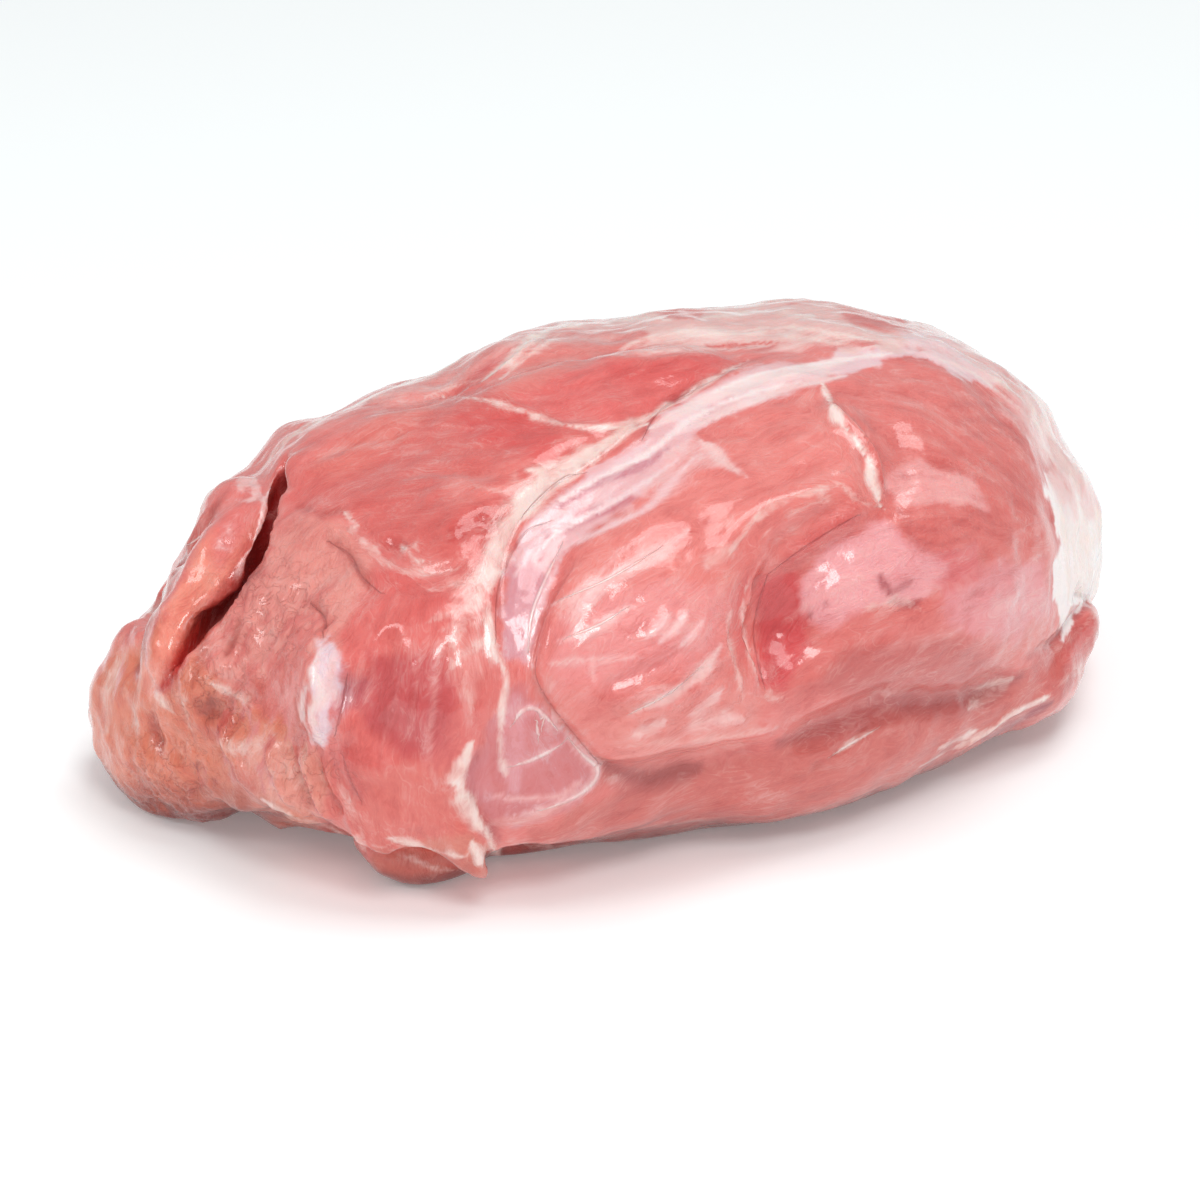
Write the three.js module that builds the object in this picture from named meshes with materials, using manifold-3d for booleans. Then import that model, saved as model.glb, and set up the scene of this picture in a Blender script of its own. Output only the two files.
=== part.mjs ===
// A boned and skinned leg of pork, lying as it does on a counter.
//
// One piece of raw meat, about 305 mm long. It is one closed solid: the block that the leg muscles
// make together, with the seams, ledges and hollows where they meet, the deep pocket at the cut
// end, the round lobe behind it, and the ragged flap that hangs over the near corner.
//
// Millimetres. +X runs along the leg to its round end, +Y goes to the far side, +Z is up. The
// origin is on the surface that the meat lies on, under the middle of the finished piece.
import * as THREE from "three";
import { mergeVertices } from "three/addons/utils/BufferGeometryUtils.js";
import Module from "manifold-3d";

// ---- driving dimensions -------------------------------------------------------------------------

const CUT_END_X = -146; // the ends of the block, before the lobes are added
const ROUND_END_X = 155;
const BLOCK_DETAIL = 19; // icosphere splits: facets of about 4 mm in front and 7 mm behind
const FACET_PULL = [-0.12, -0.24, 0.12]; // draws the facets to where the relief is
const PLAN_BLOCKINESS = 2.5; // 2 is an ellipse, more is boxier
const CROWN_BLOCKINESS = 2.3; // the same for the sections, above the waist
const BASE_BLOCKINESS = 3.4; // and below it

// Outlines of the block along its length, before its ends are rounded off: [x, value] in mm.
const NEAR_EDGE = [[-148, -20], [-128, -72], [-95, -102], [-30, -104], [80, -95], [155, -68]];
const FAR_EDGE = [[-148, 54], [-110, 70], [-60, 80], [0, 86], [80, 88], [155, 72]];
const TOP_EDGE = [[-148, 68], [-120, 90], [-80, 103], [-30, 111], [30, 115], [90, 121], [155, 119]];
const WAIST = [[-148, 32], [-60, 40], [60, 40], [155, 44]]; // height of the widest line
const UNDERSIDE = [[-148, -2], [-90, -3], [-20, -6], [155, -5]];

// Places on the block are [along, around]: along runs from -1 at the cut end to 1 at the round end,
// and around is degrees from the near side, 0, over the top, 90, to the far side, 180.
//
// A stroke is a groove of a depth and half width, or a rib where its depth is negative. Where it
// has a lift, the surface is also raised on one side of it, out to its reach: 1 is the left of the
// path as one walks it on the meat, -1 the right.
const STROKES = [
  { // the fore muscles end at the broad band of silverskin
    path: [[0.24, 84], [0.02, 75], [-0.15, 67], [-0.25, 64], [-0.35, 59], [-0.42, 51], [-0.47, 37],
      [-0.5, 22], [-0.53, 8], [-0.54, -6]],
    depth: 3, width: 9, lift: 2.5, side: -1, reach: 26,
  },
  { // the round middle muscle bulges over the silverskin
    path: [[-0.14, 57], [-0.26, 52], [-0.34, 46], [-0.39, 38], [-0.41, 29], [-0.4, 20], [-0.36, 10],
      [-0.32, 1], [-0.25, -8]],
    depth: 3, width: 8, lift: 4, side: 1, reach: 30,
  },
  { // the middle muscle's free edge lies on the outer one
    path: [[0.29, 68], [0.31, 60], [0.31, 51], [0.28, 44], [0.22, 39], [0.12, 37], [0.02, 34],
      [-0.04, 28], [-0.06, 18]],
    depth: 2.5, width: 8, lift: 4, side: -1, reach: 26,
  },
  { // the fold along the foot of the near side
    path: [[-0.3, -6], [-0.12, -3], [0.04, 0], [0.21, 3], [0.38, 0], [0.55, -4]],
    depth: 3, width: 10, lift: 2.5, side: 1, reach: 24,
  },
  { // the step up to the fat that covers the top
    path: [[-0.44, 122], [-0.38, 108], [-0.25, 100], [-0.06, 96], [0.1, 94], [0.22, 90]],
    depth: 2, width: 8, lift: 2.5, side: -1, reach: 24,
  },
  { // a valley of fat across the fore muscles
    path: [[-0.56, 84], [-0.55, 66], [-0.51, 53], [-0.44, 50]],
    depth: 2.5, width: 9,
  },
  { // the sinew at the end of the fore muscles
    path: [[-0.65, 48], [-0.69, 34], [-0.71, 18]],
    depth: -3, width: 8,
  },
  { // the hollow behind that sinew
    path: [[-0.6, 42], [-0.63, 28], [-0.65, 12]],
    depth: 3, width: 8,
  },
  { // the far lip of the pocket
    path: [[-0.62, 122], [-0.7, 112], [-0.79, 104], [-0.86, 96], [-0.9, 80], [-0.93, 62]],
    depth: -5, width: 11,
  },
  { // far side: the seam between the two large muscles there
    path: [[-0.7, 150], [-0.4, 158], [-0.1, 150], [0.2, 160], [0.5, 172], [0.75, 190]],
    depth: 4, width: 10, lift: 3, side: 1, reach: 34,
  },
  { // far side: a cross seam from the crown down to the foot
    path: [[0.34, 126], [0.36, 138], [0.3, 152], [0.34, 176], [0.28, 196]],
    depth: 3, width: 10, lift: 2.5, side: -1, reach: 24,
  },
];

// Hollows and swellings: where, how deep, and how far they spread. A negative depth swells.
const DIMPLES = [
  { at: [0.03, 24], depth: 6, spread: 15 }, // the torn hollow under the middle muscle's edge
  { at: [-0.83, 30], depth: 5, spread: 10 }, // the end of a vein at the cut end
  { at: [-0.46, 4], depth: 4, spread: 16 }, // the flat under the middle muscle
  { at: [0.36, 30], depth: -4, spread: 34 }, // the outer muscle
  { at: [-0.16, 30], depth: -3, spread: 30 }, // the middle muscle
  { at: [-0.6, 35], depth: -3, spread: 26 }, // the fore muscles
  { at: [-0.2, 116], depth: -4, spread: 26 }, // the fat over the top
  { at: [-0.3, 175], depth: -4, spread: 38 }, // the two muscles on the far side
  { at: [0.45, 140], depth: -3, spread: 30 },
];
const UNEVEN_BY = 1.2; // the slow waves of soft meat, all over

// Round lobes, joined to the block: centre, half sizes, and turn about Z in degrees.
const LOBE_DETAIL = 5; // icosphere splits
const LOBE_UNEVENNESS = 0.04; // of its size
const LOBE_WAVES = 50; // mm of slow waves across a half size
const LOBES = [
  { at: [-124, 6, 18], size: [24, 37, 27], turn: 5 }, // behind the pocket, at the cut end
  { at: [-80, -67, 8], size: [21, 13, 11], turn: -34 }, // under the flap
  { at: [111, -58, 22], size: [32, 14, 15], turn: 30 }, // the rolled edge at the round end
];
// The corner is cut back along this line on the floor, so that the flap hangs clear.
const UNDERCUT = [
  [-142, -4, 0], [-134, -34, 0], [-119, -62, 0], [-92, -88, 0], [-52, -102, 0], [-20, -104, 0]];
const UNDERCUT_HEIGHT = 21;
const UNDERCUT_DEPTH = 25;

// Tips of the flap, from where they leave the block to their points.
const TIPS = [
  [[-98, -62, 58], [-90, -86, 32], [-76, -97, 11]],
  [[-110, -54, 50], [-107, -73, 31], [-99, -83, 18]],
  [[-122, -40, 46], [-122, -53, 32], [-115, -66, 16]],
];
const TIP_ALONG = [0.7, -0.7, 0]; // the flap's edge runs this way
const TIP_NARROWING = 0.5; // the share of its width that a tip loses by its point
const TIP_HALF_WIDTH = 17;
const TIP_HALF_THICKNESS = 4.5;

const POCKET_MOUTH = [
  [-96, 9, 92], [-102, -3, 87], [-111, -13, 80], [-121, -16, 71], [-130, -18, 61], [-137, -20, 49]];
const POCKET_INWARD = [0.8, 0.58, -0.1];
const POCKET_DEPTH = 38;
const POCKET_HALF_WIDTH = 5;
const POCKET_WAVINESS = 1.5; // mm that its floor winds to each side
const POCKET_WINDINGS = 14; // radians of that along its mouth

const BLADE_FACETS = [14, 18]; // around a blade and along it
const SPARE_BLOCK = [500, 400, 100]; // what is cut away below the floor

// ---- the block ----------------------------------------------------------------------------------

// A smooth curve through [x, value] points, flat beyond its ends.
function profile(points) {
  const last = points.length - 1;
  const slope = (i) => {
    const before = points[Math.max(0, i - 1)];
    const after = points[Math.min(last, i + 1)];
    return (after[1] - before[1]) / (after[0] - before[0]);
  };
  return (x) => {
    const at = THREE.MathUtils.clamp(x, points[0][0], points[last][0]);
    let i = 0;
    while (i < last - 1 && at > points[i + 1][0]) i++;
    const [x0, y0] = points[i];
    const [x1, y1] = points[i + 1];
    const w = x1 - x0;
    const t = (at - x0) / w;
    const h = t * t * (3 - 2 * t);
    return (
      y0 + (y1 - y0) * h +
      slope(i) * w * t * (1 - t) * (1 - t) -
      slope(i + 1) * w * t * t * (1 - t)
    );
  };
}

const nearEdge = profile(NEAR_EDGE);
const farEdge = profile(FAR_EDGE);
const topEdge = profile(TOP_EDGE);
const waist = profile(WAIST);
const underside = profile(UNDERSIDE);

// Carries a point of the unit sphere to the surface of the block.
function onBlock(point) {
  const n = PLAN_BLOCKINESS;
  const m = point.z > 0 ? CROWN_BLOCKINESS : BASE_BLOCKINESS;
  const plan = (Math.abs(point.x) ** n + Math.abs(point.y) ** n) ** (1 / n);
  const reach = (plan ** m + Math.abs(point.z) ** m) ** (-1 / m);
  const u = point.clone().multiplyScalar(reach);
  const x = THREE.MathUtils.lerp(CUT_END_X, ROUND_END_X, (u.x + 1) / 2);
  const middle = (nearEdge(x) + farEdge(x)) / 2;
  const halfWidth = (farEdge(x) - nearEdge(x)) / 2;
  const height = u.z > 0 ? topEdge(x) - waist(x) : waist(x) - underside(x);
  return new THREE.Vector3(x, middle + u.y * halfWidth, waist(x) + u.z * height);
}

// The point of the block at [along, around].
function placeOnBlock([along, around]) {
  const across = Math.sqrt(1 - along * along);
  const turn = THREE.MathUtils.degToRad(around);
  return onBlock(new THREE.Vector3(along, -across * Math.cos(turn), across * Math.sin(turn)));
}

// Moves every vertex of a geometry to move(vertex, normal).
function moveVertices(geometry, move) {
  const { position, normal } = geometry.attributes;
  const p = new THREE.Vector3();
  const n = new THREE.Vector3();
  for (let i = 0; i < position.count; i++) {
    p.fromBufferAttribute(position, i);
    n.fromBufferAttribute(normal, i);
    const q = move(p, n);
    position.setXYZ(i, q.x, q.y, q.z);
  }
  return geometry;
}

function blockGeometry() {
  const sphere = new THREE.IcosahedronGeometry(1, BLOCK_DETAIL);
  sphere.deleteAttribute("normal");
  sphere.deleteAttribute("uv");
  const geometry = mergeVertices(sphere, 1e-5);
  geometry.computeVertexNormals();
  const pull = new THREE.Vector3(...FACET_PULL);
  moveVertices(geometry, (p) => onBlock(p.add(pull).normalize()));
  geometry.computeVertexNormals();
  return moveVertices(geometry, (p, n) => p.addScaledVector(n, relief(p, n)));
}

// ---- the relief on the block --------------------------------------------------------------------

const STROKE_SAMPLES = 60;
const FADE_SAMPLES = 8; // a stroke rises to its full depth over this many samples at each end

const strokes = STROKES.map((stroke) => {
  const curve = new THREE.CatmullRomCurve3(stroke.path.map(placeOnBlock));
  return { ...stroke, points: curve.getSpacedPoints(STROKE_SAMPLES) };
});
const dimples = DIMPLES.map((dimple) => ({ ...dimple, centre: placeOnBlock(dimple.at) }));

// How far a stroke moves the surface at a point, outward.
function strokeHeight({ points, depth, width, lift = 0, side, reach }, point, normal) {
  let nearest = 0;
  points.forEach((q, i) => {
    if (q.distanceToSquared(point) < points[nearest].distanceToSquared(point)) nearest = i;
  });
  const distance = points[nearest].distanceTo(point);
  const endFade = Math.min(1, nearest / FADE_SAMPLES, (STROKE_SAMPLES - nearest) / FADE_SAMPLES);
  const groove = -depth * Math.exp(-((distance / width) ** 2));
  if (!lift) return groove * endFade;
  const i = THREE.MathUtils.clamp(nearest, 1, STROKE_SAMPLES - 1);
  const tangent = points[i + 1].clone().sub(points[i - 1]).normalize();
  const offset = point.clone().sub(points[nearest]);
  const sideways = normal.clone().cross(tangent).dot(offset) * side;
  const rise = THREE.MathUtils.smoothstep(sideways, -width / 2, width);
  return (groove + lift * rise * Math.exp(-((distance / reach) ** 2))) * endFade;
}

// Slow waves that never line up, between about -1 and 1.
function unevenness(p) {
  return (
    Math.sin(p.x / 17 + Math.sin(p.y / 23)) * Math.cos(p.y / 19 + p.z / 29) +
    0.6 * Math.sin(p.z / 11 + p.x / 13) * Math.sin(p.y / 12 - p.x / 31)
  );
}

function relief(point, normal) {
  let height = unevenness(point) * UNEVEN_BY;
  for (const stroke of strokes) height += strokeHeight(stroke, point, normal);
  for (const { centre, depth, spread } of dimples) {
    height -= depth * Math.exp(-((centre.distanceTo(point) / spread) ** 2));
  }
  return height;
}

// ---- the lobes, the flap's tips and the pocket --------------------------------------------------

function lobeGeometry({ at, size, turn }) {
  const geometry = new THREE.IcosahedronGeometry(1, LOBE_DETAIL);
  moveVertices(geometry, (p) => {
    const wave = unevenness(p.clone().multiplyScalar(LOBE_WAVES));
    return p.multiplyScalar(1 + LOBE_UNEVENNESS * wave);
  });
  return geometry.scale(...size).rotateZ(THREE.MathUtils.degToRad(turn)).translate(...at);
}

// A curved blade: it follows a path, is wide along one direction, and thins out all round.
// narrowing is how much of its width it loses by the path's end, waviness bends its far edge.
function bladeGeometry({ path, wide, halfWidth, halfThickness, narrowing = 0, waviness = 0 }) {
  const curve = new THREE.CatmullRomCurve3(path.map((p) => new THREE.Vector3(...p)));
  const sideways = new THREE.Vector3(...wide).normalize();
  return moveVertices(new THREE.SphereGeometry(1, ...BLADE_FACETS), (s) => {
    const t = (1 - s.y) / 2;
    const across = curve.getTangentAt(t).cross(sideways).normalize();
    const taper = 1 - narrowing * t;
    const wave = waviness * Math.sin(t * POCKET_WINDINGS) * Math.max(0, s.x);
    return curve.getPointAt(t)
      .addScaledVector(sideways, s.x * halfWidth * taper)
      .addScaledVector(across, s.z * halfThickness * taper + wave);
  });
}

// ---- joining and cutting ------------------------------------------------------------------------

const wasm = await Module();
wasm.setup();

function solidOf(geometry) {
  const bare = geometry.clone();
  bare.deleteAttribute("normal");
  bare.deleteAttribute("uv");
  const merged = mergeVertices(bare, 1e-4);
  return new wasm.Manifold(
    new wasm.Mesh({
      numProp: 3,
      vertProperties: merged.attributes.position.array,
      triVerts: new Uint32Array(merged.index.array),
    }),
  );
}

function geometryOf(solid) {
  const mesh = solid.getMesh();
  const geometry = new THREE.BufferGeometry();
  geometry.setAttribute("position", new THREE.BufferAttribute(mesh.vertProperties, 3));
  geometry.setIndex(new THREE.BufferAttribute(mesh.triVerts, 1));
  geometry.computeVertexNormals();
  return geometry;
}

let meat = solidOf(blockGeometry());
const undercut = {
  path: UNDERCUT, wide: [0, 0, 1], halfWidth: UNDERCUT_HEIGHT, halfThickness: UNDERCUT_DEPTH,
};
meat = meat.subtract(solidOf(bladeGeometry(undercut)));
for (const lobe of LOBES) meat = meat.add(solidOf(lobeGeometry(lobe)));
for (const path of TIPS) {
  const tip = {
    path, wide: TIP_ALONG, halfWidth: TIP_HALF_WIDTH, halfThickness: TIP_HALF_THICKNESS,
    narrowing: TIP_NARROWING,
  };
  meat = meat.add(solidOf(bladeGeometry(tip)));
}
const pocket = {
  path: POCKET_MOUTH, wide: POCKET_INWARD, halfWidth: POCKET_DEPTH,
  halfThickness: POCKET_HALF_WIDTH, waviness: POCKET_WAVINESS,
};
meat = meat.subtract(solidOf(bladeGeometry(pocket)));
const belowFloor = new THREE.BoxGeometry(...SPARE_BLOCK).translate(0, 0, -SPARE_BLOCK[2] / 2);
meat = meat.subtract(solidOf(belowFloor));

const legGeometry = geometryOf(meat);
legGeometry.computeBoundingBox();
const centre = legGeometry.boundingBox.getCenter(new THREE.Vector3());
legGeometry.translate(-centre.x, -centre.y, 0);

const leg = new THREE.Mesh(
  legGeometry,
  new THREE.MeshStandardMaterial({ color: "#d9807a", roughness: 0.4, metalness: 0 }),
);
leg.name = "pork_leg";

const group = new THREE.Group();
group.add(leg);
export default group;
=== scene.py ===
import itertools
import math

import bmesh
import bpy
import numpy as np
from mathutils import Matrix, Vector
from mathutils.bvhtree import BVHTree


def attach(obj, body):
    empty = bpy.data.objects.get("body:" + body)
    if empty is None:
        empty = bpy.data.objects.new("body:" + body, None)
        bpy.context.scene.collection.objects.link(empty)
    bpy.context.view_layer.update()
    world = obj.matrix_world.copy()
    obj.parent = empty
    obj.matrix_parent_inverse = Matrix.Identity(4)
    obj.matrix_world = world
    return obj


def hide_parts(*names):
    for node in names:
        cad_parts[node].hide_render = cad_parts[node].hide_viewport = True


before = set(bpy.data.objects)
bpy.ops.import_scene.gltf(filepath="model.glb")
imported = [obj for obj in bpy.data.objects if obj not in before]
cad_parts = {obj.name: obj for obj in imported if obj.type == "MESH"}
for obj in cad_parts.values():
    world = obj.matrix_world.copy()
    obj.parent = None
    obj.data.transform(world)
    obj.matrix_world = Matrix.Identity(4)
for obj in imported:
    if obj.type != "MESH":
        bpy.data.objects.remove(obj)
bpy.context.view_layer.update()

MM = 0.001

# ---- The camera ------------------------------------------------------------------------------
# The photograph looks down on the meat from its near left side, with a long lens. The frame is
# square, and the pixels in this file are counted in it from its top left corner.

FRAME_PIXELS = 1200
SENSOR = 36.0
LENS = 113.0
AIM = Vector((-3.6, 8.1, 39.0)) * MM
DISTANCE = 1083 * MM
LEFT_OF_FRONT = math.radians(25)
ABOVE = math.radians(25)

towards_camera = Vector((
    -math.sin(LEFT_OF_FRONT) * math.cos(ABOVE),
    -math.cos(LEFT_OF_FRONT) * math.cos(ABOVE),
    math.sin(ABOVE),
))
camera = bpy.data.objects.new("camera", bpy.data.cameras.new("camera"))
camera.data.lens = LENS
camera.data.sensor_width = SENSOR
camera.data.clip_end = 20
camera.location = AIM + towards_camera * DISTANCE
camera.rotation_euler = (-towards_camera).to_track_quat("-Z", "Y").to_euler()
bpy.context.scene.collection.objects.link(camera)
bpy.context.scene.camera = camera
bpy.context.view_layer.update()

EYE = np.array(camera.location)
RIGHT, UP, BACK = np.array(camera.matrix_world.to_3x3()).T
FOCAL_PIXELS = LENS / SENSOR * FRAME_PIXELS

# ---- The leg: its form -----------------------------------------------------------------------
# A boned and skinned leg of pork, one soft piece of raw muscle. It starts as a copy of the solid,
# gets a fine even mesh, and loses its facets, so that the seams and folds can be pressed into it.

FACE_SIZE = 1.44 * MM
ROUNDS_OF_SMOOTHING = 19

meat = bpy.data.objects.new("leg_of_pork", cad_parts["pork_leg"].data.copy())
bpy.context.scene.collection.objects.link(meat)
meat.data.materials.clear()
shell = bmesh.new()
shell.from_mesh(meat.data)
bmesh.ops.remove_doubles(shell, verts=shell.verts, dist=0.01 * MM)
shell.to_mesh(meat.data)
shell.free()

bpy.ops.object.select_all(action="DESELECT")
meat.select_set(True)
bpy.context.view_layer.objects.active = meat
remesh = meat.modifiers.new("even mesh", "REMESH")
remesh.mode = "VOXEL"
remesh.voxel_size = FACE_SIZE
bpy.ops.object.modifier_apply(modifier=remesh.name)
smooth = meat.modifiers.new("no facets", "SMOOTH")
smooth.factor = 0.5
smooth.iterations = ROUNDS_OF_SMOOTHING
bpy.ops.object.modifier_apply(modifier=smooth.name)
bpy.ops.object.shade_smooth()
count = len(meat.data.vertices)


def measure():
    """Takes the places and normals of the meat, and its surface for rays to meet."""
    global places, normals, surface
    places = np.empty(count * 3, np.float32)
    normals = np.empty(count * 3, np.float32)
    meat.data.vertices.foreach_get("co", places)
    meat.data.vertex_normals.foreach_get("vector", normals)
    places = places.reshape(-1, 3).astype(float)
    normals = normals.reshape(-1, 3).astype(float)
    shape = bmesh.new()
    shape.from_mesh(meat.data)
    surface = BVHTree.FromBMesh(shape)
    shape.free()


def move(by):
    """Moves every place, and lets nothing below the table."""
    moved = places + by
    moved[:, 2] = np.maximum(moved[:, 2], 0)
    meat.data.vertices.foreach_set("co", moved.astype(np.float32).ravel())
    meat.data.update()
    measure()


measure()

# ---- The leg: where things are on it ---------------------------------------------------------
# What the photograph shows is drawn in its pixels. The other sides are drawn in millimetres, each
# in a flat view: the two axes of its drawing, and the direction that it is seen from.

FLAT_VIEWS = {
    "behind": (0, 2, Vector((0, 1, 0))),
    "above": (0, 1, Vector((0, 0, 1))),
    "round end": (1, 2, Vector((1, 0, 0))),
    "cut end": (1, 2, Vector((-1, 0, 0))),
}
FLAT_DISTANCE = 1.0  # metres from the middle of the meat to the eye of a flat view
FLAT_SPACING = 1.0  # mm between the points of a smooth line
PHOTO_SPACING = 3.0  # pixels between them
PIXEL = DISTANCE / FOCAL_PIXELS / MM  # mm that a pixel covers at the meat
MATCHING_SIDE = 0.15  # how far a wall may turn away before a drawing no longer reaches it
TURNED_AWAY = 60  # mm that a wall counts as outside an outline for each step past that
FAR = 99.0  # mm, further than any drawing reaches
PAIRS_AT_ONCE = 1_500_000


def fade(value, start, end):
    """Rises smoothly from 0 at start to 1 at end, which may be the lower of the two."""
    t = np.clip((value - start) / (end - start), 0, 1)
    return t * t * (3 - 2 * t)


def tapered(along, thinnest, share):
    """1 along a line, falling to thinnest at its ends, each of which takes a share of it."""
    return thinnest + (1 - thinnest) * fade(np.minimum(along, 1 - along), 0, share)


def bell(distance):
    """1 at no distance, about a third at 1, and next to nothing from 2 on."""
    return np.exp(-(distance**2))


def waves(points, size, seed):
    """Smooth random waves between about -1 and 1. From one crest to the next is about 2 sizes."""
    repeat = 32
    cells = np.random.default_rng(seed).uniform(-1, 1, (repeat, repeat, repeat))
    spot = points / size
    cell = np.floor(spot).astype(int)
    t = fade(spot - cell, 0, 1)
    total = np.zeros(len(points))
    for corner in itertools.product((0, 1), repeat=3):
        i = (cell + corner) % repeat
        total += np.prod(np.where(corner, t, 1 - t), axis=1) * cells[i[:, 0], i[:, 1], i[:, 2]]
    return total


def through(points, spacing):
    """A smooth line through points, as points that lie spacing apart."""
    points = np.array(points, float)
    ends = np.vstack([2 * points[0] - points[1], points, 2 * points[-1] - points[-2]])
    line = []
    for a, b, c, d in zip(ends, ends[1:], ends[2:], ends[3:]):
        steps = max(1, int(np.linalg.norm(c - b) / spacing))
        for t in np.arange(steps) / steps:
            line.append(0.5 * (
                2 * b + (c - a) * t + (2 * a - 5 * b + 4 * c - d) * t**2
                + (3 * b - a - 3 * c + d) * t**3))
    return np.array(line + [points[-1]])


def in_view(view, points):
    """Where points in space are in a drawing, and the direction that it is seen from."""
    if view in FLAT_VIEWS:
        across, up, side = FLAT_VIEWS[view]
        return points[:, [across, up]] / MM, np.array(side)
    offset = points - EYE
    depth = -(offset @ BACK)
    across = FRAME_PIXELS / 2 + FOCAL_PIXELS * (offset @ RIGHT) / depth
    down = FRAME_PIXELS / 2 - FOCAL_PIXELS * (offset @ UP) / depth
    return np.stack([across, down], axis=-1), np.array(towards_camera)


def laid(view, points):
    """The line through the points of a drawing, laid on the surface, and its normals there."""
    flat = view in FLAT_VIEWS
    on_surface, its_normals = [], []
    for across, down in through(points, FLAT_SPACING if flat else PHOTO_SPACING):
        if flat:
            first, second, side = FLAT_VIEWS[view]
            start = side * FLAT_DISTANCE
            start[first] = across * MM
            start[second] = down * MM
            ray = -side
        else:
            start = Vector(EYE)
            ray = Vector(RIGHT * (across - FRAME_PIXELS / 2) - UP * (down - FRAME_PIXELS / 2)
                         - BACK * FOCAL_PIXELS).normalized()
        place, normal, _, _ = surface.ray_cast(start, ray)
        if place is None:
            reach = FLAT_DISTANCE if flat else DISTANCE
            place, normal, _, _ = surface.find_nearest(start + ray * reach)
        on_surface.append(place)
        its_normals.append(normal)
    return np.array(on_surface, float), np.array(its_normals, float)


def near_line(line, reach, others):
    """The places within reach in mm of the box round a line, in parts that are small enough for
    each place to be compared with so many others."""
    margin = reach * MM
    inside = np.all((places > line.min(0) - margin) & (places < line.max(0) + margin), axis=1)
    chosen = np.flatnonzero(inside)
    for part in np.array_split(chosen, max(1, len(chosen) * others // PAIRS_AT_ONCE)):
        if len(part):
            yield part


def beside(view, points, reach):
    """For each place on the meat: its distance in mm from a line, the same with a sign that is
    positive on the line's right, and how far along it is, from 0 to 1. Past reach it is far."""
    line, line_normals = laid(view, points)
    near = np.full(count, FAR)
    side = np.full(count, FAR)
    along = np.zeros(count)
    step = line[1:] - line[:-1]
    length = np.maximum((step**2).sum(1), 1e-12)
    for part in near_line(line, reach, len(step)):
        offset = places[part][:, None] - line[None, :-1]
        t = np.clip((offset * step).sum(2) / length, 0, 1)
        apart = offset - step * t[..., None]
        distance = np.sqrt((apart**2).sum(2)) / MM
        distance[(normals[part] @ line_normals[:-1].T) < MATCHING_SIDE] = FAR
        best = distance.argmin(1)
        row = np.arange(len(part))
        near[part] = distance[row, best]
        right = np.cross(step[best], line_normals[best])
        side[part] = near[part] * np.where((apart[row, best] * right).sum(1) > 0, 1, -1)
        along[part] = (best + t[row, best]) / len(step)
    return near, side, along


def inside_of(view, outline):
    """For each place: how far in mm it lies inside an outline, below 0 outside or turned away."""
    spots, side = in_view(view, places)
    outline = np.array(outline, float)
    distance = np.full(count, 1e9)
    inside = np.zeros(count, bool)
    for a, b in zip(outline, np.roll(outline, -1, axis=0)):
        step = b - a
        t = np.clip(((spots - a) @ step) / (step @ step), 0, 1)
        distance = np.minimum(distance, np.linalg.norm(spots - a - t[:, None] * step, axis=1))
        crosses = (a[1] > spots[:, 1]) != (b[1] > spots[:, 1])
        height = step[1] if step[1] else 1e-9
        inside ^= crosses & (spots[:, 0] < a[0] + (spots[:, 1] - a[1]) / height * step[0])
    scale = 1.0 if view in FLAT_VIEWS else PIXEL
    turned_away = np.maximum(0, MATCHING_SIDE - normals @ side) * TURNED_AWAY
    return np.where(inside, distance, -distance) * scale - turned_away


def in_turn(drawings):
    """The view and the values of every drawing, in the order in which they are laid on."""
    for view, named in drawings.items():
        for values in named.values():
            yield view, *values


# ---- The leg: its outline and its pocket -----------------------------------------------------
# Soft meat sags and bulges where the solid is even. Whole parts of it are pushed a few mm across
# the photograph, and edges are drawn in or lifted along a line.

# Parts that are pushed: the pixel at their middle, how far they move and their reach in pixels.
PUSHES = {
    "left end": ((104, 660), (9, 5), 32),
    "left end, lower": ((98, 722), (-3, 5), 34),
    "left shoulder": ((150, 588), (8, 14), 40),
    "rise above the pocket": ((224, 504), (-3, -13), 32),
    "rise beyond the pocket": ((290, 440), (-6, -15), 44),
    "dip of the fore muscle": ((440, 360), (0, 15), 42),
    "step up to the top": ((522, 334), (0, -5), 26),
    "corner of the top": ((566, 326), (0, -3), 26),
    "top": ((745, 293), (0, 11), 60),
    "nape": ((865, 300), (0, 10), 60),
    "round end's shoulder": ((1078, 440), (-16, -2), 40),
    "round end's bulge": ((1100, 575), (9, 0), 34),
    "foot of the round end": ((1095, 660), (-8, -4), 34),
}
FOOT_HELD = (2, 22)  # mm above the table: below the first nothing is pushed, above the last all is
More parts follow.
